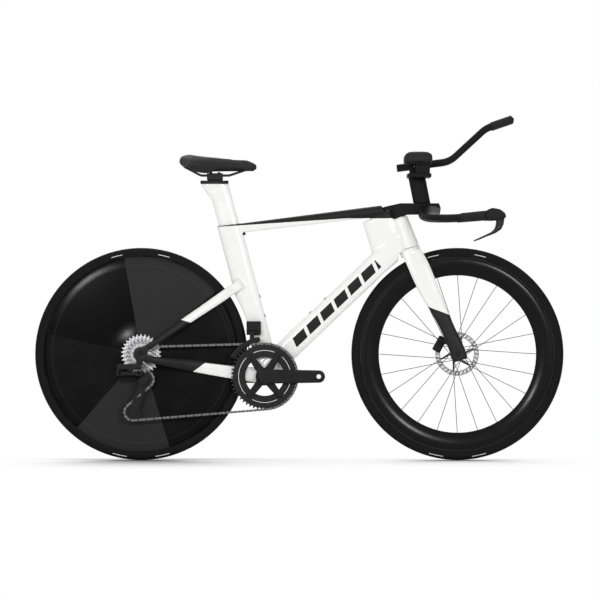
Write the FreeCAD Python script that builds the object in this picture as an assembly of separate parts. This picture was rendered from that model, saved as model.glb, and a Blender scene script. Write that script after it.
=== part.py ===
import FreeCAD
import Part
import math
import os

# Driving dimensions, in millimetres and degrees.
# X points forward, Y to the rider's left, Z up; the origin is on the ground midway between the axles.

# Wheels and layout
wheelbase = 1010.0
wheel_radius = 339.0
tyre_width = 28.0
tyre_wall = 3.0
rim_edge_radius = 311.0
rim_width = 27.0
rim_depth = 60.0
rim_bed_depth = 5.0
bb_drop = 71.2
chainstay_length = 400.9
running_clearance = 0.05
body_clearance = 0.4

# Steering
head_angle = 72.5
fork_offset = 45.0
crown_height = 369.0
head_tube_length = 103.0
head_top_radius = 24.5
crown_radius = 33.5
steering_gap = 1.2
blade_sweep_radius = 45.0
steerer_radius = 14.3
steerer_stand = 34.0
bearing_radius = 20.9
bearing_height = 8.0

# Frame tubes: depth lies in the side view, width across the bike
seat_angle = 75.27
seat_tube_advance = 12.8
seat_tube_length = 501.0
seat_tube_depth = 76.0
seat_tube_width = 37.0
down_tube_depth = 73.0
down_tube_head_depth = 82.0
down_tube_width = 46.0
down_tube_rise = 16.0
down_tube_head_height = 36.0
top_tube_depth = 36.0
top_tube_rear_depth = 30.0
top_tube_width = 40.0
top_tube_rear_width = 33.0
top_tube_drop = 16.0
top_tube_head_height = 131.0
head_fairing_depth = 118.0
head_fairing_width = 38.0
front_tyre_gap = 10.0
rear_tyre_gap = 14.0
bb_shell_radius = 30.0
bb_shell_width = 68.0
bb_cup_radius = 21.0
bb_flange_radius = 23.0
bb_flange_width = 8.0
spindle_radius = 12.0
boss_spacing = 64.0
boss_radius = 4.0
boss_thread_radius = 2.1
boss_thread_depth = 10.0
boss_depth = 13.0
boss_flange_radius = 6.0
boss_flange_height = 1.0
boss_flange_seat = 0.6
boss_seat_gap = 0.05
boss_sides = 6
boss_seat_sides = 12
boss_turn = 20.0
seat_boss_height = 190.5
down_boss_height = 235.0

# Rear end
rear_hub_width = 142.0
dropout_thickness = 8.0
dropout_radius = 22.0
hanger_drop = 40.0
axle_radius = 6.0
axle_cap_step = 3.0
rotor_radius = 70.0
rotor_thickness = 1.8
rear_rotor_side = 56.5

# Fork
front_hub_width = 100.0
front_rotor_side = 39.5
fork_tip_width = 15.4

# Seatpost and saddle
post_depth = 64.0
post_width = 24.0
post_insertion = 130.0
post_travel = 40.0
post_top_height = 636.0

oval_points = 20

# Places that follow from the dimensions above
rear_axle_x = -wheelbase / 2
front_axle_x = wheelbase / 2
bb_x = rear_axle_x + math.sqrt(chainstay_length ** 2 - bb_drop ** 2)
bb_z = wheel_radius - bb_drop
steer_lean = math.radians(90.0 - head_angle)
seat_lean = math.radians(90.0 - seat_angle)
head_top_height = crown_height + head_tube_length
post_bottom_height = seat_tube_length - post_insertion

across = FreeCAD.Vector(0, 1, 0)
upright = FreeCAD.Vector(0, 0, 1)
forward = FreeCAD.Vector(1, 0, 0)
steer_up = FreeCAD.Vector(-math.sin(steer_lean), 0, math.cos(steer_lean))
steer_forward = FreeCAD.Vector(math.cos(steer_lean), 0, math.sin(steer_lean))
seat_up = FreeCAD.Vector(-math.sin(seat_lean), 0, math.cos(seat_lean))
seat_forward = FreeCAD.Vector(math.cos(seat_lean), 0, math.sin(seat_lean))


def point(x, y, z):
    return FreeCAD.Vector(x, y, z)


front_axle = point(front_axle_x, 0, wheel_radius)
rear_axle = point(rear_axle_x, 0, wheel_radius)
bb_centre = point(bb_x, 0, bb_z)
steer_foot = front_axle - steer_forward * fork_offset
seat_foot = bb_centre + forward * seat_tube_advance


def on_steer(height, ahead, side=0.0):
    return steer_foot + steer_up * height + steer_forward * ahead + across * side


def on_seat(height, ahead, side=0.0):
    return seat_foot + seat_up * height + seat_forward * ahead + across * side


down_tube_low = bb_centre + upright * down_tube_rise
down_tube_high = on_steer(crown_height + down_tube_head_height, 0)
down_tube_length = (down_tube_high - down_tube_low).Length
down_along = (down_tube_high - down_tube_low).normalize()
down_upward = across.cross(down_along) * -1.0


# Shape helpers

def block(low, high):
    size = high - low
    return Part.makeBox(size.x, size.y, size.z, low)


def rod(start, axis, radius, length):
    return Part.makeCylinder(radius, length, start, axis)


def sided_rod(start, axis, flat_radius, length, sides):
    # prism with flat sides for a bottle insert, turned so that no corner lies on the middle plane
    aside = axis.cross(across)
    corner_radius = flat_radius / math.cos(math.pi / sides)
    corners = []
    for step in range(sides):
        turn = math.radians(boss_turn) + 2.0 * math.pi * step / sides
        corners.append(start + aside * (corner_radius * math.cos(turn)) + across * (corner_radius * math.sin(turn)))
    return Part.Face(Part.makePolygon(corners + corners[:1])).extrude(axis * length)


def cross_rod(centre, radius, side_from, side_to):
    start = point(centre.x, side_from, centre.z)
    return Part.makeCylinder(radius, side_to - side_from, start, across)


def cross_ring(centre, outer, inner, side_from, side_to):
    ring = cross_rod(centre, outer, side_from, side_to)
    return ring.cut(cross_rod(centre, inner, side_from - 1.0, side_to + 1.0))


def oval(centre, along, sideways, half_along, half_sideways, squareness=2.5):
    # closed superellipse: squareness 2 is an ellipse, larger values are boxier
    power = 2.0 / squareness
    spots = []
    for step in range(oval_points):
        turn = 2.0 * math.pi * step / oval_points
        u = half_along * math.copysign(abs(math.cos(turn)) ** power, math.cos(turn))
        v = half_sideways * math.copysign(abs(math.sin(turn)) ** power, math.sin(turn))
        spots.append(centre + along * u + sideways * v)
    curve = Part.BSplineCurve()
    curve.interpolate(Points=spots, PeriodicFlag=True)
    return Part.Wire([curve.toShape()])


def loft(wires, straight=False):
    return Part.makeLoft(wires, True, straight)


def side_profile(corners, side_from, side_to):
    # flat outline in the side view, given as (x, z) pairs, drawn out across the bike
    spots = [point(x, side_from, z) for x, z in corners]
    face = Part.Face(Part.makePolygon(spots + [spots[0]]))
    return face.extrude(across * (side_to - side_from))


def turned(outline, centre):
    # outline as (radius, side) pairs, turned about the cross axis through the centre
    spots = [point(centre.x, side, centre.z + radius) for radius, side in outline]
    face = Part.Face(Part.makePolygon(spots + [spots[0]]))
    return face.revolve(centre, across, 360.0)


def mirrored(shape):
    return shape.mirror(point(0, 0, 0), across)


def joined(shapes):
    return shapes[0].multiFuse(shapes[1:])


def wheel_room(centre, gap):
    return cross_rod(centre, wheel_radius + gap, -100.0, 100.0)


def rounded_path(corners, radius):
    # straight runs joined by tangent arcs of one radius
    edges = []
    start = corners[0]
    for before, corner, after in zip(corners, corners[1:], corners[2:]):
        inward = (before - corner).normalize()
        outward = (after - corner).normalize()
        half_turn = (math.pi - inward.getAngle(outward)) / 2.0
        reach = radius * math.tan(half_turn)
        first = corner + inward * reach
        last = corner + outward * reach
        bisector = (inward + outward).normalize()
        middle = corner + bisector * (radius / math.cos(half_turn) - radius)
        edges.append(Part.LineSegment(start, first).toShape())
        edges.append(Part.Arc(first, middle, last).toShape())
        start = last
    edges.append(Part.LineSegment(start, corners[-1]).toShape())
    return Part.Wire(edges)


def tube_on(path, radius):
    first = path.Edges[0]
    start = first.valueAt(first.FirstParameter)
    heading = first.tangentAt(first.FirstParameter)
    ring = Part.Wire([Part.Circle(start, heading, radius).toShape()])
    return path.makePipeShell([ring], True, False)


# Frame

seat_tube_trim = 12.0
collar_rise = 0.122


def seat_tube():
    heights = [0.0, seat_tube_length + seat_tube_trim]
    wires = []
    for height in heights:
        wires.append(oval(on_seat(height, 0), seat_forward, across, seat_tube_depth / 2, seat_tube_width / 2, 3.0))
    return loft(wires)


def down_tube():
    shares = [0.0, 0.35, 0.7, 1.0]
    depths = [down_tube_depth, down_tube_depth, down_tube_depth, down_tube_head_depth]
    wires = []
    for share, depth in zip(shares, depths):
        centre = down_tube_low + down_along * (down_tube_length * share)
        wires.append(oval(centre, down_upward, across, depth / 2, down_tube_width / 2, 3.2))
    return loft(wires)


def top_tube():
    rear = on_seat(seat_tube_length - top_tube_drop, 0)
    front = on_steer(crown_height + top_tube_head_height, 0)
    along = (front - rear).normalize()
    upward = along.cross(across)
    wires = [oval(rear, upward, across, top_tube_rear_depth / 2, top_tube_rear_width / 2, 3.0),
             oval(front, upward, across, top_tube_depth / 2, top_tube_width / 2, 3.0)]
    return loft(wires)


def head_fairing():
    wires = []
    for height in (crown_height, crown_height + top_tube_head_height - 6.0):
        centre = on_steer(height, -head_fairing_depth / 2)
        wires.append(oval(centre, steer_forward, across, head_fairing_depth / 2, head_fairing_width / 2, 2.6))
    return loft(wires)


def head_barrel():
    return Part.makeCone(crown_radius, head_top_radius, head_tube_length, on_steer(crown_height, 0), steer_up)


def post_solid(grow, low, high):
    wires = []
    for height in (low, high):
        half_depth = post_depth / 2 + grow
        half_width = post_width / 2 + grow
        wires.append(oval(on_seat(height, 0), seat_forward, across, half_depth, half_width, 2.6))
    return loft(wires)


wedge_low = seat_tube_length - 45.0
wedge_height = 28.0
wedge_depth = 12.0
wedge_width = 16.0


def wedge_block(grow):
    low = point(post_depth / 2 + body_clearance, -wedge_width / 2 - grow, wedge_low - grow)
    outline = [on_seat(low.z, low.x), on_seat(low.z, low.x + wedge_depth + grow),
               on_seat(low.z + wedge_height + 2 * grow, low.x + wedge_depth + grow),
               on_seat(low.z + wedge_height + 2 * grow, low.x)]
    corners = [(spot.x, spot.z) for spot in outline]
    return side_profile(corners, low.y, -low.y)


def boss_places():
    seat_front = seat_tube_depth / 2
    down_top = down_tube_depth / 2
    places = []
    for step in (0, 1):
        places.append((on_seat(seat_boss_height + boss_spacing * step, seat_front), seat_forward))
    for step in (0, 1):
        spot = down_tube_low + down_along * (down_boss_height + boss_spacing * step) + down_upward * down_top
        places.append((spot, down_upward))
    return places


stem_boss_radius = 25.0
stem_cover_radius = 43.0
stem_cover_height = crown_height + 134.0


def front_triangle():
    shell = cross_rod(bb_centre, bb_shell_radius, -bb_shell_width / 2, bb_shell_width / 2)
    body = joined([seat_tube(), down_tube(), top_tube(), head_fairing(), head_barrel(), shell])
    crown_recess = rod(on_steer(crown_height, 0), steer_up * -1.0, crown_radius + steering_gap, 90.0)
    blade_recess = rod(on_steer(crown_height - 8.0, 0), steer_up * -1.0, blade_sweep_radius, 90.0)
    stem_recess = rod(on_steer(head_top_height, 0), steer_up, stem_boss_radius + steering_gap, 90.0)
    cover_recess = rod(on_steer(stem_cover_height, 0), steer_up, stem_cover_radius + steering_gap, 60.0)
    steerer_bore = rod(on_steer(crown_height - 1, 0), steer_up, steerer_radius + 1.2, head_tube_length + 2)
    lower_seat = rod(on_steer(crown_height - 1, 0), steer_up, bearing_radius, bearing_height + 1)
    upper_seat = rod(on_steer(head_top_height - bearing_height, 0), steer_up, bearing_radius, bearing_height + 1)
    bb_bore = cross_rod(bb_centre, bb_cup_radius, -bb_shell_width, bb_shell_width)
    post_bore = post_solid(body_clearance, post_bottom_height - post_travel, seat_tube_length + 30)
    collar_up = point(-collar_rise, 0, 1.0).normalize()
    above_seat_tube = rod(on_seat(seat_tube_length, 0), collar_up, seat_tube_depth, 3.0 * seat_tube_trim)
    cuts = [wheel_room(front_axle, front_tyre_gap), wheel_room(rear_axle, rear_tyre_gap), crown_recess,
            blade_recess, stem_recess, cover_recess, steerer_bore, lower_seat, upper_seat, bb_bore, post_bore,
            above_seat_tube, wedge_block(0.0)]
    for place, outward in boss_places():
        cuts.append(sided_rod(place - outward * boss_depth, outward, boss_radius, boss_depth, boss_sides))
        cuts.append(sided_rod(place - outward * boss_flange_seat, outward, boss_flange_radius + boss_seat_gap,
                              boss_depth, boss_seat_sides))
    return body.cut(cuts)


def bottle_inserts():
    inserts = []
    for place, outward in boss_places():
        sleeve = sided_rod(place - outward * boss_depth, outward, boss_radius, boss_depth, boss_sides)
        flange = rod(place - outward * boss_flange_seat, outward, boss_flange_radius,
                     boss_flange_seat + boss_flange_height)
        thread = rod(place - outward * boss_thread_depth, outward, boss_thread_radius, 2.0 * boss_thread_depth)
        inserts.append(sleeve.fuse(flange).removeSplitter().cut(thread))
    return inserts


def headset_bearings():
    rings = []
    for height in (crown_height, head_top_height - bearing_height):
        ring = rod(on_steer(height, 0), steer_up, bearing_radius, bearing_height)
        hole = rod(on_steer(height, 0), steer_up, steerer_radius + running_clearance, bearing_height)
        rings.append(ring.cut(hole))
    return rings


def bottom_bracket():
    half = bb_shell_width / 2
    cup_length = 14.0
    cups = []
    for sign in (-1, 1):
        inner = sorted((sign * (half - cup_length), sign * half))
        outer = sorted((sign * half, sign * (half + bb_flange_width)))
        cup = cross_rod(bb_centre, bb_cup_radius, inner[0], inner[1])
        flange = cross_rod(bb_centre, bb_flange_radius, outer[0], outer[1])
        bore = cross_rod(bb_centre, spindle_radius + running_clearance, -100.0, 100.0)
        cups.append(cup.fuse(flange).removeSplitter().cut(bore))
    return cups


def chain_stay():
    # (distance ahead of the axle, side, height against the axle, half height, half width)
    stations = [(0.0, 74.8, -8.0, 13.0, 3.2), (48.0, 70.0, -20.0, 13.0, 6.0), (85.0, 61.0, -26.0, 15.0, 7.0),
                (150.0, 42.0, -35.0, 19.0, 8.0), (235.0, 29.5, -48.5, 21.5, 7.5), (300.0, 25.5, -58.0, 23.0, 7.0),
                (375.0, 24.0, -68.0, 25.0, 7.0)]
    wires = []
    for ahead, side, rise, half_height, half_width in stations:
        centre = rear_axle + point(ahead, side, rise)
        wires.append(oval(centre, upright, across, half_height, half_width, 2.6))
    return loft(wires)


def seat_stay():
    # (distance ahead of the axle, side, height over the axle, half depth, half width)
    stations = [(0.0, 75.3, 6.0, 10.0, 2.9), (26.0, 75.2, 24.0, 10.5, 3.2), (52.0, 73.6, 42.0, 11.0, 4.6),
                (85.0, 64.0, 65.0, 12.0, 6.0), (127.0, 52.0, 94.0, 13.0, 7.0),
                (216.0, 32.0, 154.0, 15.0, 7.0), (271.0, 25.5, 192.0, 16.0, 6.5), (322.0, 21.0, 227.0, 18.0, 5.5)]
    lean = math.radians(34.7)
    upward = point(-math.sin(lean), 0, math.cos(lean))
    wires = []
    for ahead, side, rise, half_depth, half_width in stations:
        centre = rear_axle + point(ahead, side, rise)
        wires.append(oval(centre, upward, across, half_depth, half_width, 2.6))
    return loft(wires)


def dropout():
    inner = rear_hub_width / 2
    return cross_rod(rear_axle, dropout_radius, inner, inner + dropout_thickness)


hanger_bolt = rear_axle + point(-8.0, -rear_hub_width / 2, -hanger_drop)
hanger_radius = 10.0


def hanger():
    lug = cross_rod(hanger_bolt, hanger_radius, -rear_hub_width / 2 - dropout_thickness, -rear_hub_width / 2)
    arm = side_profile([(hanger_bolt.x - hanger_radius, hanger_bolt.z), (hanger_bolt.x + hanger_radius, hanger_bolt.z),
                        (rear_axle.x + hanger_radius, rear_axle.z), (rear_axle.x - hanger_radius, rear_axle.z)],
                       -rear_hub_width / 2 - dropout_thickness, -rear_hub_width / 2)
    return [lug, arm]


def rear_triangle(front):
    left = [chain_stay(), seat_stay(), dropout()]
    right = [mirrored(piece) for piece in left] + hanger()
    axle_hole = cross_rod(rear_axle, axle_radius, -100.0, 100.0)
    hub_room = cross_rod(rear_axle, dropout_radius + 14.0, -rear_hub_width / 2, rear_hub_width / 2)
    bolt_hole = cross_rod(hanger_bolt, 5.0, -100.0, 0.0)
    cup_room = cross_rod(bb_centre, bb_flange_radius + 1.0, -100.0, 100.0)
    outer = rear_hub_width / 2 + dropout_thickness
    cap_room = cross_rod(rear_axle, axle_radius + axle_cap_step + body_clearance, outer, outer + 20.0)
    half = []
    for group in (left, right):
        half.append(joined(group).cut([front, axle_hole, hub_room, bolt_hole, cup_room, cap_room]))
    return half


# Fork

def fork_blade():
    # (height up the steering axis, rear edge ahead of it, front edge ahead of it, side, half width)
    stations = [(crown_height - 10.0, -29.0, 31.0, 24.5, 6.5), (crown_height - 34.0, -26.0, 39.0, 27.5, 8.0),
                (246.0, -16.0, 49.5, 36.0, 8.5), (150.0, 6.0, 56.5, 45.5, 8.5),
                (85.0, 18.0, 62.0, 52.0, 8.0), (20.0, 24.0, 71.0, 57.0, 7.0), (-22.0, 24.0, 71.0, 57.5, 7.0)]
    wires = []
    for height, rear, front, side, half_width in stations:
        centre = on_steer(height, (rear + front) / 2, side)
        wires.append(oval(centre, steer_forward, across, (front - rear) / 2, half_width, 2.6))
    return loft(wires)


def fork():
    crown = rod(on_steer(crown_height - 24.0, 0), steer_up, crown_radius, 24.0 - body_clearance)
    steerer = rod(on_steer(crown_height - 5.0, 0), steer_up, steerer_radius, head_tube_length + 5.0 + steerer_stand)
    blade = fork_blade()
    body = joined([crown, steerer, blade, mirrored(blade)])
    wheel_arch = cross_rod(front_axle, wheel_radius + 5.0, -tyre_width / 2 - 4.0, tyre_width / 2 + 4.0)
    axle_hole = cross_rod(front_axle, axle_radius, -100.0, 100.0)
    hub_room = cross_rod(front_axle, 24.0, -front_hub_width / 2, front_hub_width / 2)
    return body.cut([wheel_arch, axle_hole, hub_room])


def main_solid(shape):
    return max(shape.Solids, key=lambda solid: solid.Volume)


# Wheels

hub_flange_radius = 22.0
spoke_radius = 1.0
spoke_count = 24
spoke_seat = 3.0
rotor_band = 16.0
rotor_slots = 30
rotor_arms = 6
rear_hub_radius = 26.0
disc_left_side = 33.0
disc_right_side = 21.0
disc_left_bulge = 25.0
disc_right_bulge = 19.0


def on_wheel(centre, radius, side):
    return point(centre.x, side, centre.z + radius)


def line(first, last):
    return Part.LineSegment(first, last).toShape()


def arc(first, middle, last):
    return Part.Arc(first, middle, last).toShape()


def tyre(centre):
    half = tyre_width / 2
    crown = wheel_radius - half
    bead = half - 1.5

    def wall(inset):
        low = on_wheel(centre, rim_edge_radius, bead - inset)
        return [arc(low, on_wheel(centre, (rim_edge_radius + crown) / 2, half - 0.3 - inset),
                    on_wheel(centre, crown, half - inset)),
                arc(on_wheel(centre, crown, half - inset), on_wheel(centre, wheel_radius - inset, 0),
                    on_wheel(centre, crown, inset - half)),
                arc(on_wheel(centre, crown, inset - half),
                    on_wheel(centre, (rim_edge_radius + crown) / 2, inset + 0.3 - half),
                    on_wheel(centre, rim_edge_radius, inset - bead))]

    feet = [line(on_wheel(centre, rim_edge_radius, bead), on_wheel(centre, rim_edge_radius, bead - tyre_wall)),
            line(on_wheel(centre, rim_edge_radius, -bead), on_wheel(centre, rim_edge_radius, tyre_wall - bead))]
    section = Part.Wire(Part.__sortEdges__(wall(0.0) + wall(tyre_wall) + feet))
    return Part.Face(section).revolve(centre, across, 360.0)


def rim_bed(centre):
    # two shoulders under the tyre beads with a channel between them
    half = rim_width / 2
    channel = tyre_width / 2 - 1.5 - tyre_wall
    top = rim_edge_radius
    low = rim_edge_radius - rim_bed_depth
    return [on_wheel(centre, top, half), on_wheel(centre, top, channel), on_wheel(centre, low, channel - 2.0),
            on_wheel(centre, low, 2.0 - channel), on_wheel(centre, top, -channel), on_wheel(centre, top, -half)]


def chained(spots):
    return [line(first, last) for first, last in zip(spots, spots[1:])]


def front_rim():
    centre = front_axle
    half = rim_width / 2
    inner = rim_edge_radius - rim_depth
    bed = rim_bed(centre)
    edges = chained(bed)
    edges.append(arc(bed[-1], on_wheel(centre, inner + 0.55 * rim_depth, -half - 0.5),
                     on_wheel(centre, inner + 4.0, -6.5)))
    edges.append(arc(on_wheel(centre, inner + 4.0, -6.5), on_wheel(centre, inner, 0),
                     on_wheel(centre, inner + 4.0, 6.5)))
    edges.append(arc(on_wheel(centre, inner + 4.0, 6.5), on_wheel(centre, inner + 0.55 * rim_depth, half + 0.5),
                     bed[0]))
    return Part.Face(Part.Wire(edges)).revolve(centre, across, 360.0)


front_flange_left = 22.0
front_flange_right = -30.0
spoke_stagger = 1.6


def around(centre, radius, angle, side):
    return point(centre.x + radius * math.cos(angle), side, centre.z + radius * math.sin(angle))


def front_spokes():
    spokes = []
    lean = math.radians(52.0)
    inner = rim_edge_radius - rim_depth
    for number in range(spoke_count):
        angle = 2.0 * math.pi * number / spoke_count
        flange = front_flange_left if number % 2 else front_flange_right
        way = 1.0 if number % 4 < 2 else -1.0
        root = around(front_axle, hub_flange_radius - 1.5, angle + way * lean, flange + way * spoke_stagger)
        tip = around(front_axle, inner + spoke_seat, angle, 0)
        spokes.append(rod(root, tip - root, spoke_radius, (tip - root).Length))
    return spokes


def front_hub():
    end = front_hub_width / 2 - body_clearance
    left = front_flange_left
    right = front_flange_right
    seat = front_rotor_side - rotor_thickness / 2
    outline = [(9.5, -end), (9.5, right - 5.0), (hub_flange_radius, right - 3.5), (hub_flange_radius, right + 3.5),
               (13.0, right + 7.0), (13.0, left - 7.0), (hub_flange_radius, left - 3.5),
               (hub_flange_radius, left + 3.5), (17.0, left + 5.0), (17.0, seat), (15.0, seat),
               (15.0, seat + rotor_thickness), (9.5, seat + rotor_thickness + 3.0), (9.5, end),
               (axle_radius + running_clearance, end), (axle_radius + running_clearance, -end)]
    return turned(outline, front_axle)


rotor_hub_radius = 23.0
rotor_bore = 15.0
rotor_slot_half = 1.4
rotor_slot_margin = 3.0
rotor_slot_slant = 28.0
rotor_arm_inner = 8.0
rotor_arm_outer = 14.0
rotor_arm_start = 12.0
rotor_arm_overlap = 2.0


def rotor(centre, side):
    low = side - rotor_thickness / 2
    high = side + rotor_thickness / 2
    band = cross_ring(centre, rotor_radius, rotor_radius - rotor_band, low, high)
    middle = cross_ring(centre, rotor_hub_radius, rotor_bore, low, high)
    slots = []
    for number in range(rotor_slots):
        turn = 360.0 * number / rotor_slots
        inner = centre.z + rotor_radius - rotor_band + rotor_slot_margin
        outer = centre.z + rotor_radius - rotor_slot_margin
        slot = block(point(centre.x - rotor_slot_half, low - 1, inner),
                     point(centre.x + rotor_slot_half, high + 1, outer))
        slot.rotate(point(centre.x, 0, centre.z + rotor_radius - rotor_band / 2), across, rotor_slot_slant)
        slot.rotate(centre, across, turn)
        slots.append(slot)
    arms = []
    for number in range(rotor_arms):
        reach = rotor_radius - rotor_band + rotor_arm_overlap
        arm = block(point(centre.x + rotor_arm_inner, low, centre.z + rotor_arm_start),
                    point(centre.x + rotor_arm_outer, high, centre.z + reach))
        arm.rotate(centre, across, 360.0 * number / rotor_arms)
        arms.append(arm)
    hole = cross_rod(centre, rotor_bore, low - 1, high + 1)
    return joined([band.cut(slots), middle] + arms).cut(hole).removeSplitter()


def rear_disc():
    centre = rear_axle
    bed = rim_bed(centre)
    middle = (rim_edge_radius + rear_hub_radius) / 2
    edges = chained(bed)
    edges.append(arc(bed[-1], on_wheel(centre, middle, -disc_right_bulge),
                     on_wheel(centre, rear_hub_radius, -disc_right_side)))
    edges.append(line(on_wheel(centre, rear_hub_radius, -disc_right_side),
                      on_wheel(centre, rear_hub_radius, disc_left_side)))
    edges.append(arc(on_wheel(centre, rear_hub_radius, disc_left_side), on_wheel(centre, middle, disc_left_bulge),
                     bed[0]))
    return Part.Face(Part.Wire(edges)).revolve(centre, across, 360.0)


freehub_radius = 17.0
freehub_inner_side = disc_right_side + 1.6


def rear_hub():
    end = rear_hub_width / 2 - body_clearance
    seat = rear_rotor_side - rotor_thickness / 2
    bore = axle_radius + running_clearance
    outline = [(rear_hub_radius, -disc_right_side), (rear_hub_radius, disc_left_side), (18.0, disc_left_side + 6.0),
               (18.0, seat), (15.0, seat), (15.0, seat + rotor_thickness), (10.0, seat + rotor_thickness + 4.0),
               (10.0, end), (bore, end), (bore, -disc_right_side - 1.0), (freehub_radius, -disc_right_side - 1.0),
               (freehub_radius, -disc_right_side)]
    return turned(outline, rear_axle)


# Drive

chain_pitch = 12.7
roller_radius = 3.85
tooth_gap_radius = 4.1
tooth_height = 3.3
tooth_tip = 1.7
cassette_teeth = [30, 27, 24, 21, 19, 17, 16, 15, 14, 13, 12, 11]
cog_spacing = 3.55
cog_thickness = 1.6
cassette_inner_side = 26.0
ring_thickness = 1.7
large_teeth = 52
small_teeth = 36
pulley_teeth = 13
large_ring_side = -48.5
small_ring_side = -41.0
chain_cog_side = -(cassette_inner_side + cog_spacing * (len(cassette_teeth) - 1))
guide_pulley = rear_axle + point(15.0, 0, -80.0)
cage_length = 112.0
cage_rest_angle = math.radians(249.0)
inner_link_half = 1.1
plate_thickness = 0.65
plate_gap = 0.25
plate_radius = 4.0
pin_radius = 1.7
run_lead = 36.0


def pitch_radius(teeth):
    return chain_pitch / (2.0 * math.sin(math.pi / teeth))


def sprocket(centre, teeth, side, thickness, phase):
    pitch_circle = pitch_radius(teeth)
    tip = pitch_circle + tooth_height
    step = 2.0 * math.pi / teeth
    lean = tooth_gap_radius / pitch_circle
    low = side - thickness / 2
    edges = []
    for number in range(teeth):
        gap = phase + step * number
        left = around(centre, pitch_circle, gap - lean, low)
        right = around(centre, pitch_circle, gap + lean, low)
        bottom = around(centre, pitch_circle - tooth_gap_radius, gap, low)
        half_tip = tooth_tip / 2 / tip
        tip_left = around(centre, tip, gap + step / 2 - half_tip, low)
        tip_right = around(centre, tip, gap + step / 2 + half_tip, low)
        next_left = around(centre, pitch_circle, gap + step - lean, low)
        edges += [arc(left, bottom, right), line(right, tip_left), line(tip_left, tip_right),
                  line(tip_right, next_left)]
    return Part.Face(Part.Wire(edges)).extrude(across * thickness)


def chain_wheels(cage_angle):
    # (centre, pitch radius, way round, side) in the order the chain meets them, going back along the top run
    tension = guide_pulley + point(math.cos(cage_angle), 0, math.sin(cage_angle)) * cage_length
    return [(bb_centre, pitch_radius(large_teeth), 1, large_ring_side),
            (rear_axle, pitch_radius(cassette_teeth[-1]), 1, chain_cog_side),
            (guide_pulley, pitch_radius(pulley_teeth), -1, chain_cog_side),
            (tension, pitch_radius(pulley_teeth), 1, chain_cog_side)]


def beside(heading):
    return point(math.sin(heading), 0, -math.cos(heading))


def chain_route(wheels):
    headings = []
    for this, after in zip(wheels, wheels[1:] + wheels[:1]):
        span = after[0] - this[0]
        turn = math.asin((this[2] * this[1] - after[2] * after[1]) / span.Length)
        headings.append(math.atan2(span.z, span.x) + turn)
    route = []
    for number, this in enumerate(wheels):
        after = wheels[(number + 1) % len(wheels)]
        centre, radius, way, side = this
        arrive = headings[number - 1]
        leave = headings[number]
        sweep = ((leave - arrive) * way) % (2.0 * math.pi)
        route.append(("arc", number, radius * sweep, centre, radius, way, arrive, side))
        start = centre + beside(leave) * (way * radius) + across * side
        end = after[0] + beside(leave) * (after[2] * after[1]) + across * after[3]
        route.append(("run", number, (end - start).Length, start, end))
    return route


def route_point(route, distance):
    for piece in route:
        if distance <= piece[2] or piece is route[-1]:
            break
        distance -= piece[2]
    if piece[0] == "run":
        start = piece[3]
        span = piece[4] - start
        share = distance / piece[2]
        lead = run_lead / piece[2]
        sideways = min(max((share - lead) / (1.0 - 2.0 * lead), 0.0), 1.0)
        return point(start.x + span.x * share, start.y + span.y * sideways, start.z + span.z * share), None
    kind, number, length, centre, radius, way, arrive, side = piece
    heading = arrive + way * distance / radius
    return centre + beside(heading) * (way * radius) + across * side, number


def chain_pins(cage_angle):
    route = chain_route(chain_wheels(cage_angle))
    total = sum(piece[2] for piece in route)
    distance = 0.0
    pins = []
    step = chain_pitch
    while distance < total:
        here, wheel = route_point(route, distance)
        pins.append((here, wheel))
        low = chain_pitch * 0.99
        high = chain_pitch * 1.1
        for halving in range(40):
            step = (low + high) / 2
            there = route_point(route, min(distance + step, total))[0]
            if distance + step < total and (there - here).Length < chain_pitch:
                low = step
            elif distance + step >= total:
                break
            else:
                high = step
        last = distance
        distance += step
    spare = (total - last) / chain_pitch
    return pins, len(pins) - 1 + spare


def solve_cage():
    # turn the cage until an even number of links closes the loop
    wanted = 2.0 * round(chain_pins(cage_rest_angle)[1] / 2.0)
    low = cage_rest_angle - math.radians(25.0)
    high = cage_rest_angle + math.radians(25.0)
    rising = chain_pins(high)[1] > chain_pins(low)[1]
    for halving in range(40):
        middle = (low + high) / 2
        short = chain_pins(middle)[1] < wanted
        if short == rising:
            low = middle
        else:
            high = middle
    return middle, int(wanted)


cage_angle, link_count = solve_cage()
pins = chain_pins(cage_angle)[0][:link_count]
tension_pulley = chain_wheels(cage_angle)[3][0]


def wheel_phase(number):
    # angle of the chain pins that lie on this chain wheel
    centre = chain_wheels(cage_angle)[number][0]
    spots = [spot for spot, wheel in pins if wheel == number]
    spot = spots[len(spots) // 2]
    return math.atan2(spot.z - centre.z, spot.x - centre.x)


def link_plate(low):
    # figure-of-eight plate about the origin, flat across the bike
    ends = []
    for shift in (-chain_pitch / 2, chain_pitch / 2):
        ends.append(rod(point(shift, low, 0), across, plate_radius, plate_thickness))
    waist = block(point(-chain_pitch / 2, low, -plate_radius * 0.72),
                  point(chain_pitch / 2, low + plate_thickness, plate_radius * 0.72))
    return joined(ends + [waist])


def inner_link():
    near = inner_link_half
    shapes = [link_plate(near), link_plate(-near - plate_thickness)]
    holes = []
    for shift in (-chain_pitch / 2, chain_pitch / 2):
        shapes.append(rod(point(shift, -near, 0), across, roller_radius, 2 * near))
        holes.append(rod(point(shift, -10, 0), across, pin_radius + 0.2, 20))
    return joined(shapes).cut(holes).removeSplitter()


def outer_link():
    near = inner_link_half + plate_thickness + plate_gap
    far = near + plate_thickness
    shapes = [link_plate(near), link_plate(-far)]
    for shift in (-chain_pitch / 2, chain_pitch / 2):
        shapes.append(rod(point(shift, -far, 0), across, pin_radius, 2 * far))
    return joined(shapes).removeSplitter()


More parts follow.
